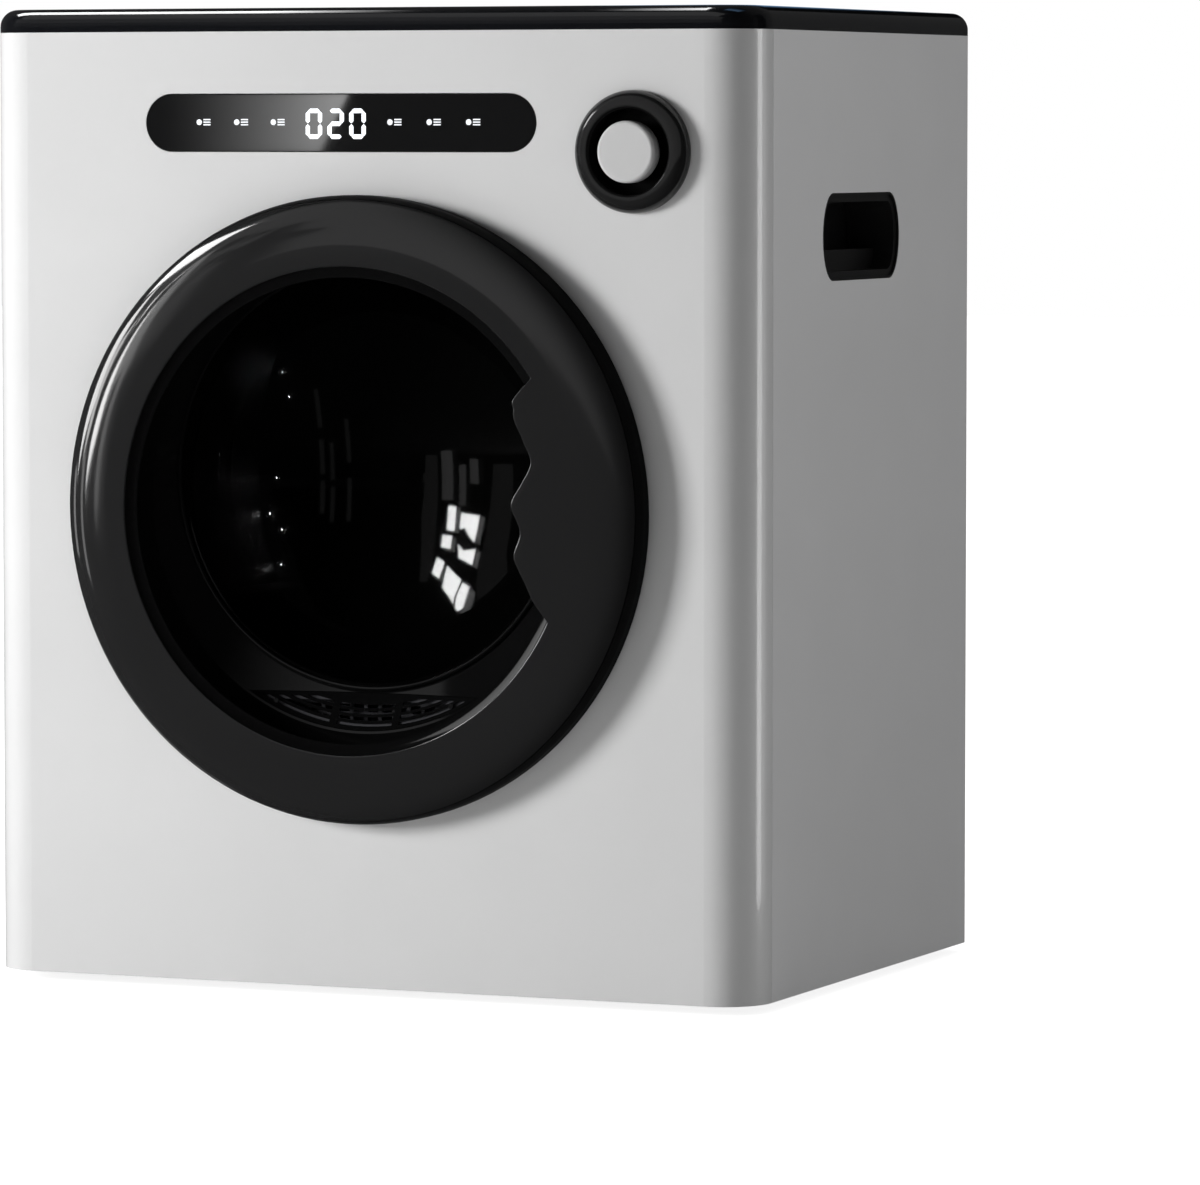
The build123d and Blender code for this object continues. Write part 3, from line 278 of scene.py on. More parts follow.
def floor():
    """Wide pale floor, white for the camera but for the object's shadow, and dark for gloss."""
    half = FLOOR_HALF / MM
    points = [(-half, -half, 0), (half, -half, 0), (half, half, 0), (-half, half, 0)]
    piece = mesh_object("floor", points, QUAD)
    material = bpy.data.materials.new("floor_white")
    material.use_nodes = True
    nodes, links = material.node_tree.nodes, material.node_tree.links
    paint = nodes["Principled BSDF"]
    paint.inputs["Roughness"].default_value = 0.9
    paint.inputs["Specular IOR Level"].default_value = 0.0
    paint.inputs["Emission Color"].default_value = (1, 1, 1, 1)
    path = nodes.new("ShaderNodeLightPath")
    glossy = path.outputs["Is Glossy Ray"]
    tone = ranged(nodes, links, glossy, (0.0, 1.0), (FLOOR_PALE, FLOOR_DARK))
    links.new(tone, paint.inputs["Base Color"])
    white = calculated(nodes, links, "MULTIPLY", seen_itself(nodes, links, path), FLOOR_WHITE)
    links.new(white, paint.inputs["Emission Strength"])
    piece.data.materials.append(material)
    return piece


def glow_card(name, points, faces, strength, fade=None, colour=(1, 1, 1)):
    """Flat shapes that only gloss sees. A fade is an axis with the coordinates where the glow is
    none and full, and the glow grows with the square of the way between."""
    piece = mesh_object(name, np.array(points) / MM, faces)
    material = bpy.data.materials.new(name)
    material.use_nodes = True
    nodes, links = material.node_tree.nodes, material.node_tree.links
    nodes.remove(nodes["Principled BSDF"])
    glow = nodes.new("ShaderNodeEmission")
    glow.inputs["Strength"].default_value = strength
    glow.inputs["Color"].default_value = (*colour, 1)
    if fade:
        axis, none, full = fade
        place = nodes.new("ShaderNodeTexCoord")
        split = nodes.new("ShaderNodeSeparateXYZ")
        links.new(place.outputs["Object"], split.inputs["Vector"])
        way = ranged(nodes, links, split.outputs[axis], (none, full), (0.0, 1.0))
        squared = calculated(nodes, links, "MULTIPLY", way, way)
        links.new(calculated(nodes, links, "MULTIPLY", squared, strength), glow.inputs["Strength"])
    links.new(glow.outputs["Emission"], nodes["Material Output"].inputs["Surface"])
    piece.data.materials.append(material)
    piece.visible_camera = False
    piece.visible_diffuse = False
    piece.visible_shadow = False
    piece.visible_transmission = False
    return piece


def panes(name, shapes, radiance, node, centre, distance=5.0):
    """Glowing shapes for one node's gloss, their corners given by azimuth and elevation."""
    points, faces = [], []
    for shape in shapes:
        faces.append(tuple(range(len(points), len(points) + len(shape))))
        points += [around(azimuth, elevation, distance, centre) for azimuth, elevation in shape]
    only_for(glow_card(name, points, faces, radiance), node)


def upright(left, right, low, high):
    """Corners of a shape between two azimuths and two elevations."""
    return (left, low), (right, low), (right, high), (left, high)


def mirrored_ahead(x, z, reach, depth):
    """Where the camera's sight line goes after an upright mirror at a point: the line from the
    mirrored eye to the point, carried on by a reach in metres."""
    point = Vector((x * MM, (FRONT + depth) * MM, z * MM))
    away = point - Vector((EYE.x, 2 * point.y - EYE.y, EYE.z))
    return point + away.normalized() * reach


def display_sheen():
    """Slanted card that the left half of the display mirrors, brightest at its slanted edge."""
    reach, glass = 0.6, -0.4
    places = ((-5.6, 461.5), (-21.8, 431.5), (-116, 431.5), (-116, 461.5))
    card = [mirrored_ahead(x, z, reach, glass) for x, z in places]
    sheen = glow_card("display_sheen", card, QUAD, 7.4, ("X", card[3].x, card[0].x))
    only_for(sheen, "display_window")


def lid_lines():
    """Two overhead strips that the rounded front edge of the lid mirrors as a thin bright line.
    Each is given by its left and right end, and by where its glow is none and full."""
    over, ahead, behind = TOP * MM + 0.5, -0.165, 0.03
    for name, left, right, none, full in (
        ("lid_line_left", -0.70, -0.20, -0.20, -0.30),
        ("lid_line_right", -0.075, 0.023, -0.09, -0.01),
    ):
        front, rear = ([(x, y, over) for x in (left, right)] for y in (ahead, behind))
        strip = front + rear[::-1]
        only_for(glow_card(name, strip, QUAD, 14.0, ("X", none, full)), "top_lid")


def lid_sky():
    """For the lid's rounded edge: two blue cards, over its right front corner and behind it, and
    three dim panels ahead, brighter with the height."""
    top = [(0.20, -0.16, 1.0), (0.42, -0.16, 1.0), (0.42, 0.06, 1.0), (0.20, 0.06, 1.0)]
    back = [(-0.2, 0.6, 0.52), (0.2, 0.6, 0.52), (0.2, 0.6, 0.9), (-0.2, 0.6, 0.9)]
    for name, card, strength, fade in (
        ("lid_sky_top", top, 1.3, ("Y", 0.06, -0.10)),
        ("lid_sky_back", back, 0.42, ("X", 0.075, -0.02)),
    ):
        only_for(glow_card(name, card, QUAD, strength, fade, SKY_BLUE), "top_lid")
    for name, elevations, radiance in (
        ("lid_sky_low", (6, 22), 0.10),
        ("lid_sky_middle", (22, 44), 0.22),
        ("lid_sky_high", (44, 70), 0.42),
    ):
        panel(name, (-70, 20), elevations, radiance, "top_lid", centre=(0, 0.5))


def window():
    """A room's window, mirrored upside down by the hollow bowl: bright panes, dim ones under them,
    faint ones at both sides, and three upright rows of slits."""
    bright = (
        upright(-35.2, -33.3, 3.3, 7.7),
        upright(-34.8, -32.5, 8.6, 10.9),
        ((-36.4, 4.4), (-41.0, 4.6), (-40.4, 9.3), (-38.9, 8.4), (-37.6, 7.0), (-36.4, 7.3)),
        ((-36.4, 9.9), (-38.0, 11.0), (-41.0, 10.3), (-40.8, 13.2), (-37.2, 12.4)),
        ((-31.9, 12.8), (-34.0, 13.4), (-33.4, 16.5), (-31.4, 15.8)),
        ((-34.7, 14.0), (-38.9, 16.1), (-38.1, 20.1), (-34.6, 18.0)),
        ((-39.4, 16.5), (-41.6, 17.0), (-39.8, 20.6), (-38.5, 20.3)),
    )
    dim = (
        upright(-35.0, -32.4, -6.0, 2.6),
        upright(-38.0, -36.4, -3.6, 3.4),
        upright(-41.0, -39.0, -4.6, -0.4),
    )
    far = (
        ((-49.5, -4.0), (-44.5, -4.0), (-43.2, 8.0), (-42.8, 14.0), (-43.5, 19.0), (-49.0, 17.0)),
        ((-31.2, -6.0), (-28.6, -6.0), (-27.6, 6.0), (-29.6, 19.0), (-31.4, 17.0)),
    )
    slits = (
        upright(-5.4, -4.5, -19, -12), upright(-5.4, -4.5, -10, -3.9), upright(-5.4, -4.5, -2.8, 3),
        upright(-7.3, -6.5, -9.5, -2.9), upright(-7.3, -6.5, -1.8, 4.4),
        upright(-10.6, -9.7, -13.6, -6), upright(-10.6, -9.7, -3.4, 4.2),
    )
    panes("window_bright", bright, 26.0, "door_bowl", BOWL)
    panes("window_dim", dim, 0.55, "door_bowl", BOWL, 2.0)
    panes("window_far", far, 0.13, "door_bowl", BOWL, 2.5)
    panes("window_slits", slits, 0.11, "door_bowl", BOWL_UPPER_LEFT, 0.6)


def left_panels(trim, mouth):
    """The panels at the left that make the crescent of the ring, with dark gaps between them, one
    for the mouth and two for the selector's bezel."""
    panel("panel_high", (-50, -84), (26, 37), 20.0, trim)
    panel("panel_outer", (-60.5, -73.5), (0, 24), 14.0, trim, lean=33)
    panel("panel_middle", (-50, -56), (0, 14), 9.0, trim, lean=20)
    panel("panel_streak", (-39.5, -45.5), (-3, 17), 20.0, trim, lean=22)
    panel("panel_inner", (-35, -39), (-5.5, 20.5), 2.8, trim, lean=25)
    panel("panel_low", (-71, -81), (-12, -1), 2.6, trim, distance=1.4)
    panel("panel_low_streak", (-47, -52), (-12, -1.5), 2.6, trim, distance=1.4)
    panel("mouth_panel", (-50, -92), (8, 36), 2.2, mouth)
    panel("bezel_streak", (-60, -74), (15, 28), 9.0, "knob_bezel", centre=SELECTOR)
    panel("bezel_sky", (-80, 60), (-30, 70), 0.26, "knob_bezel", centre=SELECTOR, distance=2.0)


def ring_sky(trim):
    """Wide dim card ahead that the upper ring and the dish mirror, fading to the right."""
    places = upright(-60, 20, -0.3, 60)
    card = [around(azimuth, elevation, 9.0, OVER_DOOR) for azimuth, elevation in places]
    only_for(glow_card("ring_sky", card, QUAD, 0.44, ("X", 3.0, -2.4)), trim, "door_dish")


def corner_strips():
    """Upright cards that the right front corner mirrors as a bright strip and a faint one beside
    it. Their slanted feet stop the strip above the floor."""
    centre = (HALF_W * MM - 0.006, MIDDLE[1])
    foot_heights, head_height = (0.009, 0.013), 0.8
    for name, azimuths, radiance in (("strip", (104, 118), 6.4), ("strip_edge", (118, 131), 1.0)):
        sides = [around(azimuth, 0, 0.4, centre) for azimuth in azimuths]
        feet = [(side.x, side.y, height) for side, height in zip(sides, foot_heights)]
        heads = [(side.x, side.y, head_height) for side in reversed(sides)]
        only_for(glow_card(name, feet + heads, QUAD, radiance), "front_shell")


def studio(trim, mouth, studs):
    """Key from the left and a little above, weaker on the left side, which faces it; a glow from
    the floor; panels and cards for the gloss; a dim room."""
    world_light()
    ground = floor()
    middle = (MIDDLE[0], FRONT * MM, MIDDLE[1])
    key = soft_light("key", around(*KEY_FROM, 2.4), middle, 0.65, 0.72, 36.0, glossy=False)
    others = [node for node in frame["nodes"] if node != "left_side"]
    only_for(key, *others, trim, mouth, studs, ground)
    left_key = soft_light("left_key", around(*KEY_FROM, 2.0), middle, 0.54, 0.6, 15.0, glossy=False)
    only_for(left_key, "left_side")
    ahead, foot = (0.05, -0.45, 0.015), (0.05, FRONT * MM, 0.12)
    soft_light("bounce", ahead, foot, 0.6, 0.2, 0.42, glossy=False)
    beside, upper_side = (0.95, -0.55, 0.95), (0.215, -0.1, 0.45)
    side_glow = soft_light("side_glow", beside, upper_side, 0.3, 0.3, 5.0, glossy=False)
    only_for(side_glow, "right_side")
    left_panels(trim, mouth)
    ring_sky(trim)
    panel("shell_panel", (-36, -100), (-40, 40), 0.4, "front_shell", distance=2.0)
    drum = (0, 0.05, 0.26)
    glint = soft_light("stud_glint", around(25, 6, 3.0), drum, 2.0, 2.0, 90.0, diffuse=False)
    only_for(glint, studs)
    glint.light_linking.blocker_collection = glint.light_linking.receiver_collection
    corner_strips()
    display_sheen()
    lid_lines()
    lid_sky()
    window()


# meshes


def mesh_object(name, points, faces):
    """A mesh in metres from points in millimetres and faces."""
    mesh = bpy.data.meshes.new(name)
    places = np.asarray(points, float).reshape(-1, 3) * MM
    mesh.from_pydata(places.tolist(), [], [tuple(face) for face in faces])
    mesh.update()
    piece = bpy.data.objects.new(name, mesh)
    bpy.context.scene.collection.objects.link(piece)
    return piece


def grid_faces(rows, columns, wrap_rows, wrap_columns):
    """Quads between neighbouring points of a grid, closed round on itself where it wraps."""
    r, c = np.meshgrid(
        np.arange(rows if wrap_rows else rows - 1),
        np.arange(columns if wrap_columns else columns - 1),
        indexing="ij",
    )
    r1, c1 = (r + 1) % rows, (c + 1) % columns
    quads = [r * columns + c, r1 * columns + c, r1 * columns + c1, r * columns + c1]
    return np.stack(quads, -1).reshape(-1, 4)


def volume(points, faces):
    """Signed volume of a closed mesh: the sum of its faces' cones to the origin."""
    a, b, c, d = (points[faces[:, k]] for k in range(4))
    both = np.cross(b, c) + np.cross(c, d)
    return float((a * both).sum() / 6)


def closed_surface(name, points, sharp=40.0):
    """A closed ring-like surface from a grid of points that wraps both ways, facing outwards."""
    rows, columns = points.shape[:2]
    faces = grid_faces(rows, columns, True, True)
    if volume(points.reshape(-1, 3), faces) < 0:
        faces = faces[:, ::-1]
    piece = mesh_object(name, points, faces.tolist())
    piece.data.shade_smooth()
    piece.data.set_sharp_from_angle(angle=math.radians(sharp))
    return piece


# door trim


def wave_radius(angle):
    """Radius of the window's edge: a circle, but for a wavy finger lip at the right. The lip is a
    cubic curve through its tips and hollows, given across and up from the door's centre, and the
    slope at each comes from its neighbours."""
    lip = np.array(
        [
            (112.2, -53.0), (103.7, -41.9), (101.5, -37.0), (97.1, -28.6), (94.4, -23.1),
            (97.2, -8.5), (92.8, 7.5), (97.7, 15.6), (102.9, 25.7), (98.8, 37.6),
            (93.7, 53.1), (95.0, 60.1), (103.2, 68.8),
        ]
    )
    turn = np.arctan2(lip[:, 1], lip[:, 0])
    radius = np.hypot(lip[:, 0], lip[:, 1])
    slope = np.gradient(radius, turn)
    k = np.clip(np.searchsorted(turn, angle) - 1, 0, len(turn) - 2)
    step = turn[k + 1] - turn[k]
    t = np.clip((angle - turn[k]) / step, 0, 1)
    curve = (
        (1 + 2 * t) * (1 - t) ** 2 * radius[k]
        + t * (1 - t) ** 2 * step * slope[k]
        + t**2 * (3 - 2 * t) * radius[k + 1]
        + t**2 * (t - 1) * step * slope[k + 1]
    )
    inside = (angle > turn[0]) & (angle < turn[-1])
    return np.where(inside, np.minimum(curve, WINDOW_R), WINDOW_R)


def arc(centre_r, centre_d, radius, start, end, steps):
    """Points of an arc in radius and depth, its angle measured from straight ahead."""
    turn = np.linspace(start, end, steps)
    return centre_r + radius * np.sin(turn), centre_d - radius * np.cos(turn)


def summed(slope, step):
    """Fall along a line whose slope is given at even steps."""
    return np.concatenate([[0], np.cumsum((slope[1:] + slope[:-1]) / 2) * step])


def trim_crown():
    """Radius and depth of the trim's front from the window to the groove. It is flat up to a crease
    and a shallow cone past it. A slope that grows with a power of the radius is added to both, as
    much as brings it to the groove. Its points lie closest together at the crease."""
    groove_r = DOOR_R - RIM_ROUND + RIM_ROUND * math.sin(GROOVE_TURN)
    groove_d = TRIM_FACE + RIM_ROUND - RIM_ROUND * math.cos(GROOVE_TURN)
    r = np.linspace(WINDOW_R + TRIM_EDGE, groove_r, 2000)
    step = r[1] - r[0]
    cone = summed(CREASE_SLOPE * np.clip((r - CREASE_R) / CREASE_BLEND + 0.5, 0, 1), step)
    power = summed(((r - CROWN_FROM) / (groove_r - CROWN_FROM)) ** CROWN_POWER, step)
    d = TRIM_FACE + cone + power * (groove_d - TRIM_FACE - cone[-1]) / power[-1]
    flat, crease, crown = (0, 0.30, 3), (0.30, 0.36, 7), (0.36, 1, 40)
    way = np.concatenate([np.linspace(*flat)[:-1], np.linspace(*crease)[:-1], np.linspace(*crown)])
    k = (way * (len(r) - 1)).round().astype(int)
    return r[k], d[k]


def trim_section(inner, crown):
    """Closed section of the trim at one inner radius, in radius and depth: a rounded inner edge, a
    flat lip, the crown, and a plain line about a wall's thickness behind."""
    crown_r, crown_d = crown
    back = TRIM_FACE + TRIM_WALL
    edge_r, edge_d = arc(inner + TRIM_EDGE, TRIM_FACE + TRIM_EDGE, TRIM_EDGE, -math.pi / 2, 0, 7)
    lip_r = np.linspace(inner + TRIM_EDGE, crown_r[0] + 0.01, 9)[1:-1]
    lip_d = np.full(len(lip_r), TRIM_FACE)
    foot_r = crown_r[-1] - TRIM_WALL * math.sin(GROOVE_TURN)
    foot_d = crown_d[-1] + TRIM_WALL * math.cos(GROOVE_TURN)
    rear_r = [foot_r, REAR_SLOPE_R, REAR_FLAT_R, inner + REAR_CHAMFER, inner]
    rear_d = [foot_d, back + REAR_FALL, back, back, back - REAR_CHAMFER]
    r = np.concatenate([edge_r, lip_r, crown_r, rear_r])
    d = np.concatenate([edge_d, lip_d, crown_d, rear_d])
    return r, d


def turned(name, turn, sections, sharp=50):
    """A ring about the door's axis, its section given at each angle."""
    r = np.array([section[0] for section in sections])
    d = np.array([section[1] for section in sections])
    c, s = np.cos(turn)[:, None], np.sin(turn)[:, None]
    piece = closed_surface(name, np.stack([r * c, FRONT + d, DOOR_Z + r * s], -1), sharp)
    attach(piece, "door")
    return piece


def door_trim():
    """The section carried round the door's axis, with its steps closer together along the lip."""
    fine, coarse = np.arange(LIP_FROM, LIP_TO, 0.12), np.arange(LIP_TO, LIP_FROM + 360, 1.5)
    turn = np.concatenate([np.radians(fine), np.radians(coarse)])
    crown = trim_crown()
    sections = [trim_section(inner, crown) for inner in wave_radius(turn)]
    trim = turned("door_trim_ring", turn, sections)
    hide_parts("door_trim")
    return trim


def door_mouth():
    """Hollow cove just inside the window's edge, turned about the door's axis. The angle of its
    slope falls evenly from the trim to its inner edge, and its depth is the sum of the slope."""
    t = np.linspace(0, 1, 16)
    r = WINDOW_R - 0.1 + (COVE_IN - WINDOW_R + 0.1) * t
    slope = np.tan(np.radians(COVE_STEEP + (COVE_SHALLOW - COVE_STEEP) * t))
    d = COVE_FACE + summed(slope, r[0] - r[1])
    rear_r = np.array([COVE_IN - 0.3, COVE_IN, WINDOW_R + 0.6, WINDOW_R + 0.6])
    rear_d = np.array([d[-1] + 0.4, d[-1] + 0.9, COVE_FACE + 1.8, COVE_FACE + 0.2])
    turn = np.linspace(0, TURN, 240, endpoint=False)
    section = np.concatenate([r, rear_r]), np.concatenate([d, rear_d])
    mouth = turned("door_mouth", turn, [section] * len(turn), 40)
    return mouth


# drum


def drum_studs():
    """Domed rivet heads on the drum's back plate. Each is a quarter ellipse turned about its own
    axis: the radius goes with the cosine of an angle and the height with its sine. It is closed by
    a tip and by a foot in the plate's plane."""
    away, angle = np.array(STUD_PLACES).T
    across, up = away * np.cos(np.radians(angle)), away * np.sin(np.radians(angle))
    plate = np.full(len(away), DRUM_HIGH[1] - PLATE)
    centres = np.stack([across, plate, DRUM_Z + up], -1)
    tilt = np.linspace(0, math.pi / 2, 5)[:-1, None]
    turn = np.linspace(0, TURN, STUD_SIDES, endpoint=False)
    radius, rise = STUD_R * np.cos(tilt), STUD_RISE * np.sin(tilt)
    dome = [radius * np.cos(turn), -rise * np.ones(STUD_SIDES), radius * np.sin(turn)]
    dome = np.stack(dome, -1).reshape(-1, 3)
    stud = np.concatenate([dome, [(0, -STUD_RISE, 0), (0, 0, 0)]])
    tip, foot, last = len(dome), len(dome) + 1, len(dome) - STUD_SIDES
    k = np.arange(STUD_SIDES)
    after = (k + 1) % STUD_SIDES
    wall = grid_faces(len(tilt), STUD_SIDES, False, True)
    cap = np.stack([last + k, np.full(STUD_SIDES, tip), last + after], -1)
    base = np.stack([after, np.full(STUD_SIDES, foot), k], -1)
    faces = []
    for start in range(0, len(centres) * len(stud), len(stud)):
        faces += (wall + start).tolist() + (cap + start).tolist() + (base + start).tolist()
    studs = mesh_object("drum_studs", centres[:, None] + stud, faces)
    studs.data.shade_smooth()
    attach(studs, "drum")
    return studs


# selector


def knob_coil():
    """The cap's spring: a round wire carried along a helix and closed at both ends."""
    low, high = corners("knob_spring")
    middle = (low + high) / 2
    reach = (high[0] - low[0]) / 2 - WIRE_R
    turn = np.linspace(0, COIL_TURNS * TURN, 36 * COIL_TURNS + 1)
    depth = np.linspace(high[1] - WIRE_R, low[1] + WIRE_R, len(turn))
    c, s, none = np.cos(turn), np.sin(turn), np.zeros(len(turn))
    path = np.stack([middle[0] + reach * c, depth, middle[2] + reach * s], -1)
    outward = np.stack([c, none, s], -1)
    ahead = np.stack([-reach * s, none + (depth[-1] - depth[0]) / turn[-1], reach * c], -1)
    across = np.cross(ahead / np.linalg.norm(ahead, axis=1)[:, None], outward)
    round_wire = np.linspace(0, TURN, WIRE_SIDES, endpoint=False)[None, :, None]
    skin = outward[:, None] * np.cos(round_wire) + across[:, None] * np.sin(round_wire)
    points = (path[:, None] + WIRE_R * skin).reshape(-1, 3)
    tube = grid_faces(len(turn), WIRE_SIDES, False, True)
    first_end = list(range(WIRE_SIDES))
    last_end = list(range(len(points) - 1, len(points) - 1 - WIRE_SIDES, -1))
    faces = tube.tolist() + [first_end, last_end]
    if volume(points, tube) < 0:
        faces = [face[::-1] for face in faces]
    coil = mesh_object("knob_coil", points, faces)
    coil.data.shade_smooth()
    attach(coil, "root")
    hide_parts("knob_spring")
    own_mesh(coil)
    return coil


# materials


class Finish:
    """A Principled material and short ways to add nodes to it."""

    def __init__(self, name, colour, roughness, metallic=0.0, coat=0.0):
        self.material = bpy.data.materials.new(name)
        self.material.use_nodes = True
        self.nodes = self.material.node_tree.nodes
        self.links = self.material.node_tree.links
        self.shader = self.nodes["Principled BSDF"]
        self.set("Base Color", (*colour, 1))
        self.set("Roughness", roughness)
        self.set("Metallic", metallic)
        self.set("Coat Weight", coat)
        self.set("Coat Roughness", 0.05)
        self.place = self.add("ShaderNodeTexCoord").outputs["Object"]

    def set(self, socket, value):
        self.shader.inputs[socket].default_value = value

    def add(self, kind, **values):
        node = self.nodes.new(kind)
        for key, value in values.items():
            node.inputs[key.replace("_", " ")].default_value = value
        return node

    def noise(self, per_metre, detail=3.0, rough=0.5, stretch=(1, 1, 1)):
        """Noise over the object's own coordinates, so many cells to a metre."""
        scale = self.add("ShaderNodeMapping")
        scale.inputs["Scale"].default_value = stretch
        self.links.new(self.place, scale.inputs["Vector"])
        node = self.add("ShaderNodeTexNoise", Scale=per_metre, Detail=detail, Roughness=rough)
        self.links.new(scale.outputs["Vector"], node.inputs["Vector"])
        return node.outputs["Fac"]

    def ranged(self, value, low, high):
        """A value from 0 to 1 carried to a range."""
        node = self.add("ShaderNodeMapRange", To_Min=low, To_Max=high)
        self.links.new(value, node.inputs["Value"])
        return node.outputs["Result"]

    def bump(self, height, strength, distance):
        """Bump of a height, in metres, added under any that is there."""
        node = self.add("ShaderNodeBump", Strength=strength, Distance=distance)
        self.links.new(height, node.inputs["Height"])
        before = self.shader.inputs["Normal"].links
        if before:
            self.links.new(before[0].from_socket, node.inputs["Normal"])
        self.links.new(node.outputs["Normal"], self.shader.inputs["Normal"])

    def within(self, x, z, radius):
        """1 nearer than a radius to a level axis, 0 further away; in metres."""
        blend = 0.0003
        flat = self.add("ShaderNodeMapping", Location=(-x, 0, -z), Scale=(1, 0, 1))
        self.links.new(self.place, flat.inputs["Vector"])
        away = self.add("ShaderNodeVectorMath")
        away.operation = "LENGTH"
        self.links.new(flat.outputs["Vector"], away.inputs[0])
        edge = self.add("ShaderNodeMapRange", From_Min=radius + blend, From_Max=radius - blend)
        self.links.new(away.outputs["Value"], edge.inputs["Value"])
        return edge.outputs["Result"]

    def rough_by(self, value, low, high):
        """Roughness between two, led by a value."""
        self.links.new(self.ranged(value, low, high), self.shader.inputs["Roughness"])

    def tint_by(self, value, first, second):
        """Colour between two, led by a value."""
        mix = self.add("ShaderNodeMix")
        mix.data_type = "RGBA"
        mix.inputs["A"].default_value = (*first, 1)
        mix.inputs["B"].default_value = (*second, 1)
        self.links.new(value, mix.inputs["Factor"])
        self.links.new(mix.outputs["Result"], self.shader.inputs["Base Color"])


def toned(colour, factor):
    """A colour made darker or paler by a factor."""
    return tuple(min(1.0, factor * c) for c in colour)


def moulded(name, colour, roughness, grain=0.00002, cells=900, coat=0.0, gloss=0.5):
    """Moulded plastic: a fine even grain, slightly uneven gloss and tone."""
    finish = Finish(name, colour, roughness, coat=coat)
    finish.set("Specular IOR Level", gloss)
    fine = finish.noise(cells, 4.0)
    broad = finish.noise(14, 2.0)
    finish.rough_by(broad, max(0.02, roughness - 0.03), roughness + 0.03)
    finish.tint_by(broad, toned(colour, 0.97), toned(colour, 1.03))
    finish.bump(fine, 0.5, grain)
    return finish.material


def metal(name, colour, roughness, stretch=(1, 1, 1), cells=400):
    """Metal with grain drawn out along one direction."""
    finish = Finish(name, colour, roughness, metallic=1.0)
    grain = finish.noise(cells, 3.0, stretch=stretch)
    finish.rough_by(grain, max(0.05, roughness - 0.08), roughness + 0.1)
    finish.tint_by(grain, toned(colour, 0.92), colour)
    finish.bump(grain, 0.3, 0.00002)
    return finish.material


def smoked(name, colour, cover):
    """Smoked clear plastic: dark, glossy, and only partly covering what is behind it."""
    finish = Finish(name, colour, 0.03)
    finish.set("Alpha", cover)
    haze = finish.noise(9, 2.0)
    finish.rough_by(haze, 0.02, 0.05)
    finish.tint_by(haze, colour, toned(colour, 1.2))
    return finish.material


def bezel(name, colour):
    """Black moulding, with painted shade in the hollow about its axis: darker there, and nearly
    without gloss.
    """
    finish = Finish(name, colour, 0.16)
    well_shade = finish.within(*SELECTOR, WELL_R * MM)
    # painted shade: the colour falls to a quarter in the hollow about the axis, standing in for the
    # shade there
    finish.tint_by(well_shade, colour, toned(colour, 0.25))
    finish.links.new(finish.ranged(well_shade, 0.5, 0.04), finish.shader.inputs["Specular IOR Level"])
    finish.rough_by(finish.noise(14, 2.0), 0.08, 0.12)
    finish.bump(finish.noise(900, 4.0), 0.5, 0.000003)
    return finish.material


def glowing(name, colour, strength):
    """Lit figures behind the dark window."""
    finish = Finish(name, colour, 0.3)
    finish.set("Emission Color", (*colour, 1))
    finish.set("Emission Strength", strength)
    spread = finish.noise(700, 1.0)
    finish.tint_by(spread, colour, toned(colour, 0.9))
    return finish.material


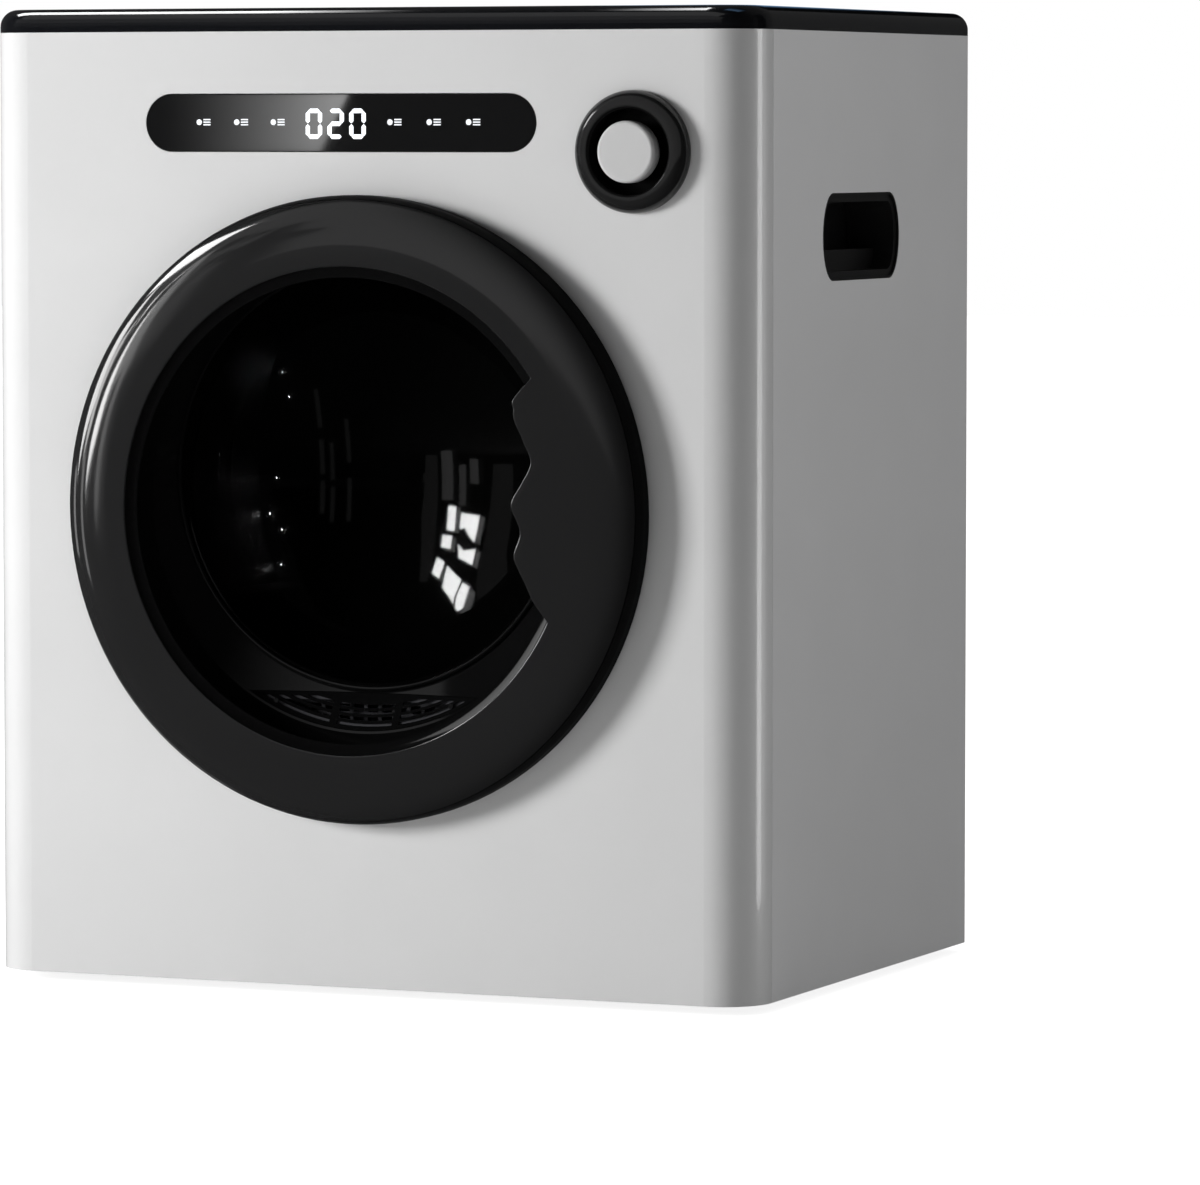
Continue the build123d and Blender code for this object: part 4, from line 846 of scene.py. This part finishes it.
def make_materials():
    """One material for each slot of the record."""
    return {
        "shell_white": moulded(
            "shell_white", (0.80, 0.80, 0.80), 0.38, 0.000002, coat=0.5, gloss=0.3
        ),
        "side_paint": moulded("side_paint", (0.78, 0.78, 0.785), 0.42, 0.00001, 1400, coat=0.15),
        "rear_paint": moulded("rear_paint", (0.60, 0.61, 0.62), 0.45, 0.00003, 1200),
        "lid_black": moulded("lid_black", (0.008, 0.0085, 0.010), 0.10, 0.000002, coat=0.3),
        "door_gloss": moulded("door_gloss", (0.006, 0.006, 0.0062), 0.40, 0.000002, gloss=0.01),
        "door_satin": moulded("door_satin", (0.0185, 0.0185, 0.0188), 0.08, 0.000001),
        "dish_black": moulded("dish_black", (0.004, 0.004, 0.0041), 0.10, 0.000002, gloss=0.4),
        "smoked_clear": smoked("smoked_clear", (0.001, 0.001, 0.001), 0.74),
        "display_glass": moulded("display_glass", (0.010, 0.010, 0.0103), 0.03, 0.0000005),
        "display_light": glowing("display_light", (0.93, 0.96, 1.0), 0.95),
        "bezel_black": bezel("bezel_black", (0.017, 0.017, 0.0172)),
        "cap_white": moulded("cap_white", (0.70, 0.70, 0.70), 0.40, 0.00001),
        "cup_black": moulded("cup_black", (0.019, 0.019, 0.0192), 0.30, 0.00001),
        "grey_plastic": moulded("grey_plastic", (0.24, 0.24, 0.25), 0.5, 0.00004),
        "zinc_steel": metal("zinc_steel", (0.62, 0.63, 0.65), 0.38, cells=120),
        "drum_steel": metal("drum_steel", (0.50, 0.50, 0.51), 0.42, (1, 0.05, 1), 900),
        "machined_steel": metal("machined_steel", (0.60, 0.60, 0.61), 0.25, (1, 0.05, 1), 1500),
        "belt_rubber": moulded("belt_rubber", (0.02, 0.02, 0.02), 0.7, 0.00006),
        "soft_rubber": moulded("soft_rubber", (0.03, 0.03, 0.03), 0.65, 0.00005),
        "felt_grey": moulded("felt_grey", (0.34, 0.33, 0.32), 0.95, 0.0003, 1800),
        "motor_paint": moulded("motor_paint", (0.05, 0.05, 0.055), 0.4, 0.00005),
        "fan_plastic": moulded("fan_plastic", (0.06, 0.06, 0.065), 0.5, 0.00004),
        "board_green": moulded("board_green", (0.015, 0.10, 0.04), 0.35, 0.00002),
        "component_dark": moulded("component_dark", (0.02, 0.02, 0.022), 0.4, 0.00003),
        "fin_alloy": metal("fin_alloy", (0.80, 0.81, 0.82), 0.35),
        "bright_steel": metal("bright_steel", (0.75, 0.76, 0.77), 0.15),
        "magnet_black": moulded("magnet_black", (0.03, 0.03, 0.03), 0.6, 0.00008),
        "mesh_grey": moulded("mesh_grey", (0.06, 0.06, 0.065), 0.5, 0.00003),
    }


def dress(materials, pieces):
    """Each CAD node and each new piece takes its slot's material; the small marks glow less."""
    dimmer = {"display_icons": glowing("icon_light", (0.93, 0.96, 1.0), 0.4)}
    for part in frame["record"]["subparts"]:
        piece = frame["nodes"][part["node"]]
        piece.data.materials.clear()
        piece.data.materials.append(dimmer.get(part["node"], materials[part["material_slot"]]))
    for piece, slot in pieces:
        piece.data.materials.append(materials[slot])


bpy.context.scene.view_settings.view_transform = "Standard"
place_camera()
ring, cove, rivets, coil = door_trim(), door_mouth(), drum_studs(), knob_coil()
studio(ring, cove, rivets)
slots = (ring, "door_satin"), (cove, "dish_black"), (rivets, "bright_steel"), (coil, "bright_steel")
dress(make_materials(), slots)
